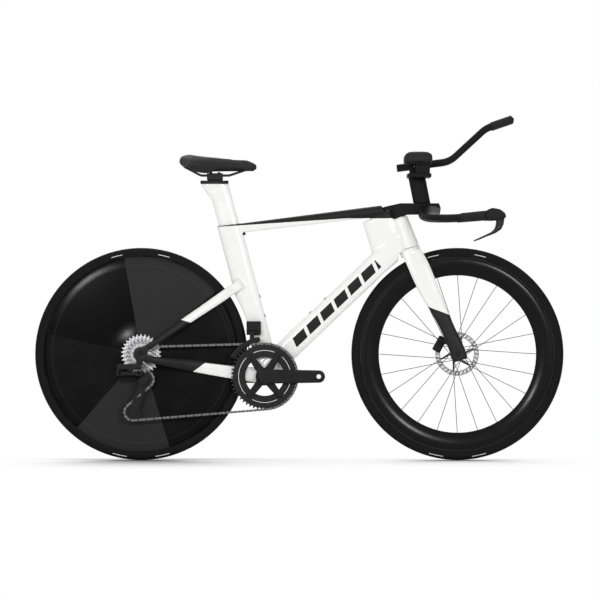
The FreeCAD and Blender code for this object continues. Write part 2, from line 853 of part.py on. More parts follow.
def chain_links(model, first):
    links = []
    for number in range(first, link_count, 2):
        start = pins[number][0]
        end = pins[(number + 1) % link_count][0]
        along = (end - start).normalize()
        upward = along.cross(across).normalize()
        turn = FreeCAD.Rotation(along, upward.cross(along), upward, "XZY")
        link = model.copy()
        link.Placement = FreeCAD.Placement((start + end) * 0.5, turn)
        links.append(link)
    return links


def cassette():
    cogs = []
    for number, teeth in enumerate(cassette_teeth):
        side = -(cassette_inner_side + cog_spacing * number)
        phase = wheel_phase(1) if teeth == cassette_teeth[-1] else 0.1 * number
        cog = sprocket(rear_axle, teeth, side, cog_thickness, phase)
        holes = [cross_rod(rear_axle, freehub_radius, -100.0, 0.0)]
        root = pitch_radius(teeth) - tooth_gap_radius
        window = (root - 3.0 - freehub_radius - 4.0) / 2
        if window > 2.5:
            for turn in range(7):
                spot = around(rear_axle, freehub_radius + 4.0 + window, 2.0 * math.pi * turn / 7, 0)
                holes.append(cross_rod(spot, min(window, 8.0), -100.0, 0.0))
        cogs.append(cog.cut(holes))
    return cogs


def freehub():
    end = rear_hub_width / 2 - body_clearance
    bore = axle_radius + running_clearance
    outer = -chain_cog_side + cog_thickness
    outline = [(freehub_radius, -freehub_inner_side), (freehub_radius, -outer), (10.0, -outer - 1.0), (10.0, -end),
               (bore, -end), (bore, -freehub_inner_side)]
    body = turned(outline, rear_axle)
    stop = cross_ring(rear_axle, freehub_radius + 3.0, freehub_radius - 1.0, -cassette_inner_side + cog_thickness / 2,
                      -freehub_inner_side)
    return body.fuse(stop).removeSplitter()


bolt_circle = 55.0
ring_bolt_radius = 5.0
spider_angles = [58.0, 125.0, 232.0, 308.0]
spider_outline = [(0.0, 14.0), (30.0, 12.5), (60.0, 10.5), (76.0, 7.0), (86.0, 1.0)]
ring_window_radius = 63.0
large_ring_band = pitch_radius(large_teeth) - tooth_gap_radius - ring_window_radius
small_ring_band = 7.0
crank_length = 172.5
crank_end_radius = 20.0
crank_hub_radius = 23.0
crank_inner_side = 60.0
crank_outer_side = 74.0
pedal_thread_radius = 7.14
spider_outer_side = 58.0


def ring_tab(angle, low, high, inner, outer, width):
    tab = block(point(bb_x + inner, low, bb_z - width / 2), point(bb_x + outer, high, bb_z + width / 2))
    tab.rotate(bb_centre, across, -angle)
    return tab


def spider_arm(angle, low, high):
    upper = [(bb_x + reach, bb_z + half) for reach, half in spider_outline]
    lower = [(bb_x + reach, bb_z - half) for reach, half in reversed(spider_outline)]
    arm = side_profile(upper + lower, low, high)
    arm.rotate(bb_centre, across, -angle)
    return arm


def chainring(teeth, side, band, phase):
    low = side - ring_thickness / 2
    high = side + ring_thickness / 2
    root = pitch_radius(teeth) - tooth_gap_radius
    ring = sprocket(bb_centre, teeth, side, ring_thickness, phase)
    ring = ring.cut(cross_rod(bb_centre, root - band, low - 1, high + 1))
    tabs = []
    holes = []
    for angle in spider_angles:
        tabs.append(ring_tab(angle, low, high, bolt_circle - 9.0, root - band + 3.0, 20.0))
        spot = around(bb_centre, bolt_circle, math.radians(angle), 0)
        holes.append(cross_rod(spot, ring_bolt_radius, low - 1, high + 1))
    return joined([ring] + tabs).cut(holes).removeSplitter()


def chainring_bolts():
    bolts = []
    for angle in spider_angles:
        spot = around(bb_centre, bolt_circle, math.radians(angle), 0)
        sleeve = cross_rod(spot, ring_bolt_radius, large_ring_side - ring_thickness / 2, small_ring_side + 2.0)
        shoulder = cross_rod(spot, ring_bolt_radius + 2.0, large_ring_side + ring_thickness / 2,
                             small_ring_side - ring_thickness / 2)
        head = cross_rod(spot, ring_bolt_radius + 1.5, small_ring_side + ring_thickness / 2, small_ring_side + 2.4)
        bolts.append(joined([sleeve, shoulder, head]).removeSplitter())
    return bolts


def crank_arm():
    # right arm, pointing forward from the bottom bracket axis
    pedal = bb_centre + forward * crank_length
    low = -crank_outer_side
    high = -crank_inner_side
    hub = cross_rod(bb_centre, crank_hub_radius, low, high)
    end = cross_rod(pedal, crank_end_radius, low, high)
    web = side_profile([(bb_x, bb_z - crank_hub_radius), (pedal.x, pedal.z - crank_end_radius),
                        (pedal.x, pedal.z + crank_end_radius), (bb_x, bb_z + crank_hub_radius)], low, high)
    arm = joined([hub, end, web]).removeSplitter()
    outer_edges = [edge for edge in arm.Edges if abs(edge.CenterOfMass.y - low) < 0.01]
    return arm.makeFillet(4.0, outer_edges).cut(cross_rod(pedal, pedal_thread_radius, -100.0, 0.0))


def crank_right():
    ring_face = large_ring_side - ring_thickness / 2
    arms = []
    for angle in spider_angles:
        arms.append(spider_arm(angle, -spider_outer_side, ring_face))
    boss = cross_rod(bb_centre, crank_hub_radius + 6.0, -crank_inner_side, ring_face)
    spindle = cross_rod(bb_centre, spindle_radius, -crank_inner_side, crank_outer_side - 2.0)
    return joined([crank_arm(), boss, spindle] + arms).removeSplitter()


def crank_left():
    arm = crank_arm()
    arm.rotate(bb_centre, upright, 180.0)
    pinch = block(point(bb_x - crank_hub_radius - 6.0, crank_inner_side + 2.0, bb_z - 1.0),
                  point(bb_x - spindle_radius - 1.0, crank_outer_side - 2.0, bb_z + 1.0))
    return arm.cut([cross_rod(bb_centre, spindle_radius, 0.0, 100.0), pinch])


# Rear derailleur: the links work in a frame tipped inward about the forward axis

link_tip = 30.0
link_length = 52.0
link_spacing = 11.0
link_half_width = 3.2
link_half_height = 6.0
ear_gap = 0.35
ear_thickness = 2.5
ear_margin = 1.6
link_pin_radius = 2.0
link_root = hanger_bolt + point(-53.0, -20.0, -23.0)
cage_pivot = guide_pulley + point(-7.0, 0, -4.0)
cage_half_gap = 4.4
cage_plate = 1.6
cage_pivot_radius = 4.0


def tipped(shape):
    shape.Placement = FreeCAD.Placement(link_root, FreeCAD.Rotation(forward, -link_tip))
    return shape


def derailleur_link(offset):
    low = -link_half_height
    height = 2 * link_half_height
    eyes = []
    bores = []
    for x in (0.0, link_length):
        eyes.append(rod(point(x, offset, low), upright, link_half_width + 0.5, height))
        bores.append(rod(point(x, offset, low - 1), upright, link_pin_radius + running_clearance, height + 2))
    bar = block(point(0, offset - link_half_width, low), point(link_length, offset + link_half_width, low + height))
    return tipped(joined(eyes + [bar]).cut(bores).removeSplitter())


def knuckle_ears(pivot_x, x_from, x_to, web_from, web_to):
    near = link_half_height + ear_gap
    far = near + ear_thickness
    side_low = -link_half_width - ear_margin
    side_high = link_spacing + link_half_width + ear_margin
    shapes = [block(point(x_from, side_low, near), point(x_to, side_high, far)),
              block(point(x_from, side_low, -far), point(x_to, side_high, -near)),
              block(point(web_from, side_low, -far), point(web_to, side_high, far))]
    for offset in (0.0, link_spacing):
        shapes.append(rod(point(pivot_x, offset, -far), upright, link_pin_radius, 2 * far))
    return tipped(joined(shapes).removeSplitter())


def derailleur_mount():
    ears = knuckle_ears(0.0, -15.0, 5.5, -17.0, -6.5)
    outer = -rear_hub_width / 2 - dropout_thickness
    arm = block(point(link_root.x - 13.0, outer - 9.0, hanger_bolt.z - 9.0),
                point(hanger_bolt.x + 9.0, outer, hanger_bolt.z + 9.0))
    post = block(point(link_root.x - 15.0, outer - 9.0, link_root.z),
                 point(link_root.x - 7.0, outer, hanger_bolt.z + 9.0))
    bolt = cross_rod(hanger_bolt, 5.0, outer - 12.0, outer + dropout_thickness)
    return joined([ears, arm, post, bolt]).removeSplitter()


def derailleur_knuckle():
    ears = knuckle_ears(link_length, link_length - 5.5, link_length + 12.0, link_length + 6.5, link_length + 14.0)
    inner = chain_cog_side - cage_half_gap - cage_plate - body_clearance
    barrel = cross_rod(cage_pivot, 14.0, inner - 18.0, inner)
    bore = cross_rod(cage_pivot, cage_pivot_radius + running_clearance, inner - 14.0, inner + 1.0)
    return ears.fuse(barrel).removeSplitter().cut(bore)


def cage_side(side_from, side_to, radius):
    span = (tension_pulley - guide_pulley).normalize()
    normal = point(-span.z, 0, span.x)
    spots = [guide_pulley + normal * radius, guide_pulley - normal * radius, tension_pulley - normal * radius,
             tension_pulley + normal * radius]
    web = side_profile([(spot.x, spot.z) for spot in spots], side_from, side_to)
    ends = [cross_rod(spot, radius, side_from, side_to) for spot in (guide_pulley, tension_pulley)]
    return joined([web] + ends)


pulley_axle_radius = 2.5


def derailleur_cage():
    near = cage_half_gap
    far = cage_half_gap + cage_plate
    shapes = [cage_side(chain_cog_side - far, chain_cog_side - near, 13.0),
              cage_side(chain_cog_side + near, chain_cog_side + far, 11.0)]
    for spot in (guide_pulley, tension_pulley):
        shapes.append(cross_rod(spot, pulley_axle_radius, chain_cog_side - far, chain_cog_side + far))
    shapes.append(cross_rod(cage_pivot, cage_pivot_radius, chain_cog_side - far - body_clearance - 12.0,
                            chain_cog_side - far))
    middle = (guide_pulley + tension_pulley) * 0.5
    window = cross_rod(middle, 8.0, -200.0, 0.0)
    return joined(shapes).removeSplitter().cut(window)


def pulley(centre, number):
    wheel = sprocket(centre, pulley_teeth, chain_cog_side, ring_thickness, wheel_phase(number))
    boss = cross_rod(centre, 9.0, chain_cog_side - cage_half_gap + body_clearance,
                     chain_cog_side + cage_half_gap - body_clearance)
    bore = cross_rod(centre, pulley_axle_radius + running_clearance, -200.0, 0.0)
    return wheel.fuse(boss).removeSplitter().cut(bore)


# Front derailleur: the cage swings on a pin under the motor body

fd_body_low = point(bb_x - 58.0, -44.0, bb_z + 132.0)
fd_body_high = point(bb_x - 12.0, -15.5, bb_z + 176.0)
fd_pin_side = -50.0
fd_pin_height = bb_z + 150.0
fd_pin_radius = 3.0
fd_lug = 10.0
fd_cage_inner = pitch_radius(large_teeth) + tooth_height + 4.0
fd_cage_outer = fd_cage_inner + 15.0
fd_cage_half_gap = 5.5
fd_plate = 1.4


def front_derailleur_body(front):
    body = block(fd_body_low, fd_body_high)
    top_edges = [edge for edge in body.Edges if edge.CenterOfMass.y < fd_body_low.y + 1.0]
    body = body.makeFillet(7.0, top_edges)
    lugs = []
    for x in (fd_body_low.x, fd_body_high.x - fd_lug):
        lugs.append(block(point(x, fd_pin_side - 5.0, fd_pin_height - 5.0),
                          point(x + fd_lug, fd_body_low.y + 8.0, fd_pin_height + 5.0)))
    pin = rod(point(fd_body_low.x, fd_pin_side, fd_pin_height), forward, fd_pin_radius, fd_body_high.x - fd_body_low.x)
    return main_solid(joined([body, pin] + lugs).removeSplitter().cut(front))


def fd_sector(side_from, side_to, inner, outer, start, end):
    ring = cross_ring(bb_centre, outer, inner, side_from, side_to)
    reach = outer * 2.0
    spots = [(bb_x, bb_z)]
    for share in (0.0, 0.5, 1.0):
        angle = math.radians(start + (end - start) * share)
        spots.append((bb_x + reach * math.cos(angle), bb_z + reach * math.sin(angle)))
    return ring.common(side_profile(spots, side_from, side_to))


def front_derailleur_cage():
    outer_low = large_ring_side - fd_cage_half_gap - fd_plate
    inner_high = large_ring_side + fd_cage_half_gap + fd_plate
    shapes = [fd_sector(outer_low, outer_low + fd_plate, fd_cage_inner, fd_cage_outer, 97.0, 150.0),
              fd_sector(inner_high - fd_plate, inner_high, fd_cage_inner - 4.0, fd_cage_outer, 100.0, 150.0),
              fd_sector(outer_low, inner_high, fd_cage_outer - 1.6, fd_cage_outer, 104.0, 120.0),
              fd_sector(outer_low, inner_high, fd_cage_inner, fd_cage_inner + 3.0, 147.0, 150.0)]
    x_from = fd_body_low.x + fd_lug + body_clearance
    x_to = fd_body_high.x - fd_lug - body_clearance
    shapes.append(rod(point(x_from, fd_pin_side, fd_pin_height), forward, fd_pin_radius + 2.6, x_to - x_from))
    arm_low = bb_z + math.sqrt((fd_cage_outer - 1.6) ** 2 - (bb_x - x_from) ** 2)
    shapes.append(block(point(x_from, fd_pin_side - 2.0, arm_low - 2.0),
                        point(x_from + 14.0, fd_pin_side + 2.0, fd_pin_height)))
    bore = rod(point(x_from - 1.0, fd_pin_side, fd_pin_height), forward, fd_pin_radius + running_clearance,
               x_to - x_from + 2.0)
    return joined(shapes).removeSplitter().cut(bore)


# Brakes and axles

caliper_half_length = 26.0
caliper_half_height = 14.0
caliper_right_depth = 9.0
caliper_left_depth = 12.0
caliper_rounding = 5.0
rotor_side_gap = 0.7
rotor_rim_gap = 1.5


def caliper(centre, rotor_side, lean, carrier):
    low = centre.z - caliper_half_height
    high = centre.z + caliper_half_height
    body = block(point(centre.x - caliper_half_length, rotor_side - caliper_right_depth, low),
                 point(centre.x + caliper_half_length, rotor_side + caliper_left_depth, high))
    body = body.makeFillet(caliper_rounding, body.Edges)
    body.rotate(point(centre.x, rotor_side, centre.z), across, lean)
    slot = rotor_thickness / 2 + rotor_side_gap
    hub = rear_axle if centre.x < 0 else front_axle
    opening = cross_rod(hub, rotor_radius + rotor_rim_gap, rotor_side - slot, rotor_side + slot)
    return main_solid(body.cut([opening, carrier]))


def thru_axle(centre, half, head):
    shaft = cross_rod(centre, axle_radius, -half, half)
    cap = cross_rod(centre, axle_radius + axle_cap_step, half, half + head)
    socket = cross_rod(centre, 3.0, half - 8.0, half + head + 1.0)
    return shaft.fuse(cap).removeSplitter().cut(socket)


# Seatpost and saddle

post_neck_height = post_top_height - 52.0
post_head_length = 90.0
post_head_setback = 11.6
track_height = 10.0
track_width = 34.0
clamp_length = 51.0
clamp_height = 23.0
clamp_width = 58.0
rail_radius = 3.5
rail_spread = 22.0
rail_rise = 15.8
saddle_length = 252.0
saddle_setback = 125.0
post_top = on_seat(post_top_height, 0)
track_centre = post_top - forward * post_head_setback
clamp_low = post_top.z + track_height + body_clearance
rail_z = clamp_low + rail_rise
saddle_rear = post_top.x - saddle_setback
clamp_x = track_centre.x + 1.5


def seatpost():
    shaft = post_solid(0.0, post_bottom_height, post_neck_height)
    neck = oval(on_seat(post_neck_height, 0), seat_forward, across, post_depth / 2, post_width / 2, 2.6)
    head = oval(track_centre, forward, across, post_head_length / 2, track_width / 2 - 2.0, 2.6)
    return shaft.fuse(loft([neck, head])).removeSplitter()


def saddle_track():
    plate = block(track_centre + point(-post_head_length / 2, -track_width / 2, 0),
                  track_centre + point(post_head_length / 2, track_width / 2, track_height))
    corners = [edge for edge in plate.Edges if edge.BoundBox.ZLength > track_height - 0.1]
    return plate.makeFillet(12.0, corners)


def clamp_bolt_places():
    return [point(clamp_x + shift, 0, clamp_low) for shift in (-13.0, 13.0)]


def saddle_clamp():
    low = point(clamp_x - clamp_length / 2, -clamp_width / 2, clamp_low)
    body = block(low, low + point(clamp_length, clamp_width, clamp_height))
    body = body.makeFillet(3.0, body.Edges)
    holes = [rod(point(low.x - 1, side, rail_z), forward, rail_radius, clamp_length + 2)
             for side in (-rail_spread, rail_spread)]
    holes += [rod(spot, upright, 3.0, clamp_height) for spot in clamp_bolt_places()]
    body = body.cut(holes)
    under = block(low - point(9, 9, 9), point(low.x + clamp_length + 9, clamp_width, rail_z))
    bolts = []
    for spot in clamp_bolt_places():
        shank = rod(spot + upright * 2.0, upright, 3.0, clamp_height - 2.0)
        head = rod(spot + upright * clamp_height, upright, 5.0, 3.5)
        bolts.append(shank.fuse(head).removeSplitter())
    return [body.common(under), body.cut(under)] + bolts


def pad_section(x, centre, half_width, low, high, dip, dip_half):
    # flat underside, drawn-in sides, rounded shoulders and a hollow along the middle
    rise = high - low

    def spot(share, height):
        return point(x, centre + half_width * share, low + rise * height)

    rims = [point(x, centre - dip_half, high), point(x, centre + dip_half, high)]
    edges = [line(spot(-0.8, 0.0), spot(0.8, 0.0)),
             arc(spot(0.8, 0.0), spot(1.0, 0.42), spot(0.92, 0.72)),
             arc(spot(0.92, 0.72), point(x, (rims[1].y + centre + half_width * 0.92) / 2, low + rise * 0.95), rims[1]),
             arc(rims[1], point(x, centre, high - dip), rims[0]),
             arc(rims[0], point(x, (rims[0].y + centre - half_width * 0.92) / 2, low + rise * 0.95), spot(-0.92, 0.72)),
             arc(spot(-0.92, 0.72), spot(-1.0, 0.42), spot(-0.8, 0.0))]
    return Part.Wire(edges)


# (share of the saddle's length, half width, underside and top over the rails, hollow depth, hollow half width)
saddle_stations = [(0.0, 46.0, 36.0, 60.0, 2.0, 10.0), (0.08, 63.0, 26.0, 65.0, 4.0, 11.0),
                   (0.22, 66.0, 18.0, 61.0, 5.0, 11.0), (0.40, 52.0, 17.0, 56.0, 6.0, 10.0),
                   (0.60, 33.0, 17.5, 51.0, 6.0, 9.0), (0.80, 25.0, 18.0, 47.0, 4.0, 7.0),
                   (0.95, 22.0, 18.0, 43.0, 2.0, 5.0), (1.0, 16.0, 22.0, 36.0, 1.0, 4.0)]


def saddle_pad():
    wires = []
    for share, half_width, low, high, dip, dip_half in saddle_stations:
        x = saddle_rear + saddle_length * share
        wires.append(pad_section(x, 0.0, half_width, rail_z + low, rail_z + high, dip, dip_half))
    return loft(wires)


def saddle_base(pad, rails):
    thickness = 4.0
    wires = []
    for share, half_width, low, high, dip, dip_half in saddle_stations[1:-1]:
        x = saddle_rear + saddle_length * share
        half = half_width * 0.72
        bottom = rail_z + low - thickness
        spots = [point(x, -half, bottom), point(x, half, bottom), point(x, half, bottom + thickness + 4.0),
                 point(x, -half, bottom + thickness + 4.0)]
        wires.append(Part.makePolygon(spots + [spots[0]]))
    return main_solid(loft(wires).cut([pad] + rails))


def saddle_rails(pad):
    rails = []
    for sign in (-1, 1):
        corners = [point(saddle_rear + 16.0, sign * 38.0, rail_z + 29.0),
                   point(clamp_x - clamp_length / 2 - 20.0, sign * rail_spread, rail_z),
                   point(clamp_x + clamp_length / 2 + 20.0, sign * rail_spread, rail_z),
                   point(saddle_rear + saddle_length - 40.0, sign * 9.0, rail_z + 17.0)]
        rail = tube_on(rounded_path(corners, 22.0), rail_radius)
        rails.append(main_solid(rail.cut(pad)))
    return rails


# Stem, base bar and brake levers: places are measured from the top of the head tube on the steering axis

head_top = on_steer(head_top_height, 0)
stem_half_width = 24.0
stem_top = 44.9
stem_corners = [(2.0, 5.0), (21.0, 8.0), (40.0, 8.4), (75.0, 8.4), (120.0, 14.4), (132.0, 27.4), (126.0, stem_top),
                (-5.0, stem_top), (-8.0, 14.4)]
bar_half_span = 205.0
bar_end = 268.0
grip_start = 190.0
grip_thickness = 1.8
grip_bond = 0.1
lever_pivot = head_top + point(322.0, 0, -2.0)
lever_pin_radius = 2.5
lever_half_width = 5.5
hood_half_width = 12.0


def cockpit(dx, dz, side=0.0):
    return point(head_top.x + dx, side, head_top.z + dz)


def cockpit_profile(corners, side_from, side_to):
    return side_profile([(head_top.x + dx, head_top.z + dz) for dx, dz in corners], side_from, side_to)


# (ahead, side, height, heading in degrees, half chord, half thickness)
bar_stations = [(95.0, 0.0, 24.0, 90.0, 36.0, 14.0), (95.0, bar_half_span * 0.29, 17.0, 90.0, 34.0, 12.0),
                (97.0, bar_half_span - 80.0, 0.0, 80.0, 29.0, 11.0),
                (118.0, bar_half_span - 30.0, -3.5, 50.0, 22.0, 11.0),
                (160.0, bar_half_span - 5.0, -3.5, 15.0, 15.0, 10.8),
                (grip_start, bar_half_span, -2.0, 0.0, 13.5, 11.0), (bar_end, bar_half_span, 5.0, 0.0, 13.0, 12.0)]


def bar_wires(stations, grow):
    wires = []
    for ahead, side, rise, heading, half_chord, half_thickness in stations:
        turn = math.radians(heading)
        chord = point(math.sin(turn), -math.cos(turn), 0)
        wires.append(oval(cockpit(ahead, rise, side), chord, upright, half_chord + grow, half_thickness + grow, 2.3))
    return wires


def base_bar():
    left = loft(bar_wires(bar_stations, 0.0))
    return left.fuse(mirrored(left)).removeSplitter()


def bar_grips():
    sleeve = loft(bar_wires(bar_stations[-2:], grip_thickness), True)
    core = loft(bar_wires(bar_stations, grip_bond))
    grip = main_solid(sleeve.cut(core))
    return [grip, mirrored(grip)]


def stem(bar):
    body = cockpit_profile(stem_corners, -stem_half_width, stem_half_width)
    boss = rod(on_steer(head_top_height + body_clearance, 0), steer_up, stem_boss_radius, 70.0)
    above = block(cockpit(-100.0, stem_top, -60.0), cockpit(200.0, stem_top + 60.0, 60.0))
    steerer = rod(on_steer(crown_height, 0), steer_up, steerer_radius, head_tube_length + steerer_stand + 0.2)
    return main_solid(joined([body, boss]).cut([above, bar, steerer]).removeSplitter())


def stem_cover(stem_body):
    disc = rod(on_steer(stem_cover_height + body_clearance, 0), steer_up, stem_cover_radius, 15.0)
    strip = block(cockpit(-80.0, 0.0, -top_tube_width / 2), cockpit(0.0, stem_top, top_tube_width / 2))
    return main_solid(disc.common(strip).cut(stem_body))


hood_corners = [(bar_end, -8.5), (bar_end, 16.5), (280.0, 24.0), (292.0, 27.5), (315.0, 23.0), (330.0, 12.0),
                (335.0, 0.0), (330.0, -6.0), (318.0, -8.5), (300.0, -9.0)]
lever_corners = [(329.0, -4.0), (326.0, -25.0), (318.0, -41.0), (300.0, -53.0), (270.0, -64.5), (243.0, -76.0),
                 (243.0, -71.0), (272.0, -57.5), (298.0, -45.0), (309.0, -35.0), (314.0, -20.0), (315.0, -4.0)]


def lever_body():
    hood = cockpit_profile(hood_corners, bar_half_span - hood_half_width, bar_half_span + hood_half_width)
    long_edges = [edge for edge in hood.Edges if edge.BoundBox.YLength < 0.01
                  and edge.CenterOfMass.x > head_top.x + bar_end + 1.0]
    hood = hood.makeFillet(3.0, long_edges)
    gap = lever_half_width + body_clearance
    slot = block(cockpit(304.0, -20.0, bar_half_span - gap), cockpit(345.0, 9.0, bar_half_span + gap))
    hole = cross_rod(lever_pivot, lever_pin_radius, 0.0, 2.0 * bar_half_span)
    return main_solid(hood.cut([slot, hole]))


def lever_pin():
    return cross_rod(lever_pivot, lever_pin_radius, bar_half_span - hood_half_width + 1.0,
                     bar_half_span + hood_half_width - 1.0)


def brake_lever():
    low = bar_half_span - lever_half_width
    high = bar_half_span + lever_half_width
    blade = cockpit_profile(lever_corners, low, high)
    hub = cross_rod(lever_pivot, 7.0, low, high)
    bore = cross_rod(lever_pivot, lever_pin_radius + running_clearance, 0.0, 2.0 * bar_half_span)
    return blade.fuse(hub).removeSplitter().cut(bore)


# Riser, extensions and arm rests

riser_height = 81.5
riser_depth = 55.0
riser_width = 28.0
riser_lean = 16.2
plate_thickness_z = 12.0
extension_side = 45.0
extension_radius = 11.1
grip_length = 71.0
arm_side = 108.0
arm_pad_half_width = 39.0
button_radius = 5.9
button_depth = 9.0
button_stand = 3.5
riser_foot = cockpit(71.6, stem_top)
plate_low = riser_foot.z + riser_height
extension_corners = [(-8.0, 156.4), (160.2, 177.4), (275.1, 283.3), (360.0, 312.4)]
clamp_from = 32.0
clamp_to = 92.0
arm_pad_low = 171.5


def riser():
    top = riser_foot + point(-riser_lean, 0, riser_height)
    wires = [oval(spot, forward, across, riser_depth / 2, riser_width / 2, 2.4) for spot in (riser_foot, top)]
    return loft(wires)


def extension_path(side):
    return rounded_path([cockpit(dx, dz, side) for dx, dz in extension_corners], 80.0)


def extension_end():
    last = cockpit(extension_corners[-1][0], extension_corners[-1][1])
    before = cockpit(extension_corners[-2][0], extension_corners[-2][1])
    return last, (last - before).normalize()


def extension(side):
    end, heading = extension_end()
    end = end + across * side
    bore = rod(end - heading * (button_depth + 2.0), heading, button_radius + body_clearance, button_depth + 4.0)
    return tube_on(extension_path(side), extension_radius).cut(bore)


def extension_grip(side):
    end, heading = extension_end()
    start = end + across * side - heading * grip_length
    sleeve = rod(start, heading, extension_radius + 2.2, grip_length - 1.5)
    return sleeve.cut(rod(start - heading, heading, extension_radius, 76.0))


def shift_button(side):
    end, heading = extension_end()
    start = end + across * side - heading * button_depth
    shank = rod(start, heading, button_radius, button_depth + button_stand)
    rim = [edge for edge in shank.Edges if (edge.CenterOfMass - start).dot(heading) > button_depth]
    return shank.makeFillet(2.0, rim[:1])


def bolt_spots(side):
    outward = math.copysign(16.5, side)
    return [point(head_top.x + dx, side + outward, head_top.z) for dx in (clamp_from + 14.0, clamp_to - 14.0)]


plate_from = 24.0
plate_to = 100.0
plate_overhang = 20.0
plate_corner = 18.0
clamp_half_width = 20.0
clamp_sink = 2.0
clamp_top = 57.0
slit_from = 34.0
slit_to = 37.0
slit_reach = 25.0
clamp_bolt_radius = 2.0
clamp_bolt_foot = 24.0
bolt_head_radius = 3.4
bolt_head_height = 3.5
bolt_hole_length = 60.0


def riser_plate():
    low = plate_low - head_top.z
    plate_half = arm_side + plate_overhang
    plate = block(cockpit(plate_from, low, -plate_half), cockpit(plate_to, low + plate_thickness_z, plate_half))
    corners = [edge for edge in plate.Edges if edge.BoundBox.ZLength > plate_thickness_z - 0.1]
    shapes = [plate.makeFillet(plate_corner, corners)]
    cuts = []
    for side in (-extension_side, extension_side):
        shapes.append(block(cockpit(clamp_from, low + clamp_sink, side - clamp_half_width),
                            cockpit(clamp_to, low + clamp_top, side + clamp_half_width)))
        start = cockpit(extension_corners[0][0], extension_corners[0][1], side)
        heading = cockpit(extension_corners[1][0], extension_corners[1][1], side) - start
        cuts.append(rod(start, heading, extension_radius + body_clearance, heading.Length))
        outward = math.copysign(1.0, side)
        slit_low = cockpit(clamp_from - 1.0, low + slit_from, min(side, side + outward * slit_reach))
        slit_high = cockpit(clamp_to + 1.0, low + slit_to, max(side, side + outward * slit_reach))
        cuts.append(block(slit_low, slit_high))
        for spot in bolt_spots(side):
            cuts.append(rod(spot + upright * (low + clamp_bolt_foot), upright, clamp_bolt_radius, bolt_hole_length))
    return main_solid(joined(shapes).cut(cuts).removeSplitter())


def cockpit_bolts():
    low = plate_low - head_top.z
    bolts = []
    for side in (-extension_side, extension_side):
        for spot in bolt_spots(side):
            shank_length = clamp_top - clamp_bolt_foot
            shank = rod(spot + upright * (low + clamp_bolt_foot), upright, clamp_bolt_radius, shank_length)
            head = rod(spot + upright * (low + clamp_top), upright, bolt_head_radius, bolt_head_height)
            bolts.append(shank.fuse(head).removeSplitter())
    return bolts


def arm_cup(side):
    low = plate_low - head_top.z + plate_thickness_z
    post = block(cockpit(50.0, low, side - 14.0), cockpit(95.0, arm_pad_low - 4.0, side + 14.0))
    tray = block(cockpit(18.0, arm_pad_low - 4.6, side - arm_pad_half_width + 9.0),
                 cockpit(100.0, arm_pad_low, side + arm_pad_half_width - 9.0))
    corners = [edge for edge in tray.Edges if edge.BoundBox.ZLength > 4.0]
    return post.fuse(tray.makeFillet(12.0, corners)).removeSplitter()


# (ahead, share of the half width, underside lift, top height over the tray)
arm_pad_stations = [(13.0, 0.78, 3.5, 28.0), (26.0, 0.96, 0.0, 35.0), (58.0, 1.0, 0.0, 37.0), (90.0, 0.96, 0.0, 35.0),
                    (104.0, 0.80, 3.5, 28.0)]


def arm_pad(side):
    wires = []
    for ahead, share, lift, high in arm_pad_stations:
        low = head_top.z + arm_pad_low
        wires.append(pad_section(head_top.x + ahead, side, arm_pad_half_width * share, low + lift, low + high, 10.0,
                                 24.0 * share))
    under = block(cockpit(-50.0, arm_pad_low - 50.0, side - 100.0), cockpit(200.0, arm_pad_low, side + 100.0))
    return main_solid(loft(wires).cut(under))


# Assembly

front = main_solid(front_triangle())
rear_halves = [main_solid(half) for half in rear_triangle(front)]
fork_body = main_solid(fork())
pad = saddle_pad()
rails = saddle_rails(pad)
bar = base_bar()
stem_body = stem(bar)
hood = lever_body()
pin = lever_pin()
lever = brake_lever()
front_caliper_centre = front_axle + point(-56.0, 0, 31.0)
rear_caliper_centre = rear_axle + point(60.0, 0, 16.0)
rear_frame = Part.makeCompound(rear_halves)

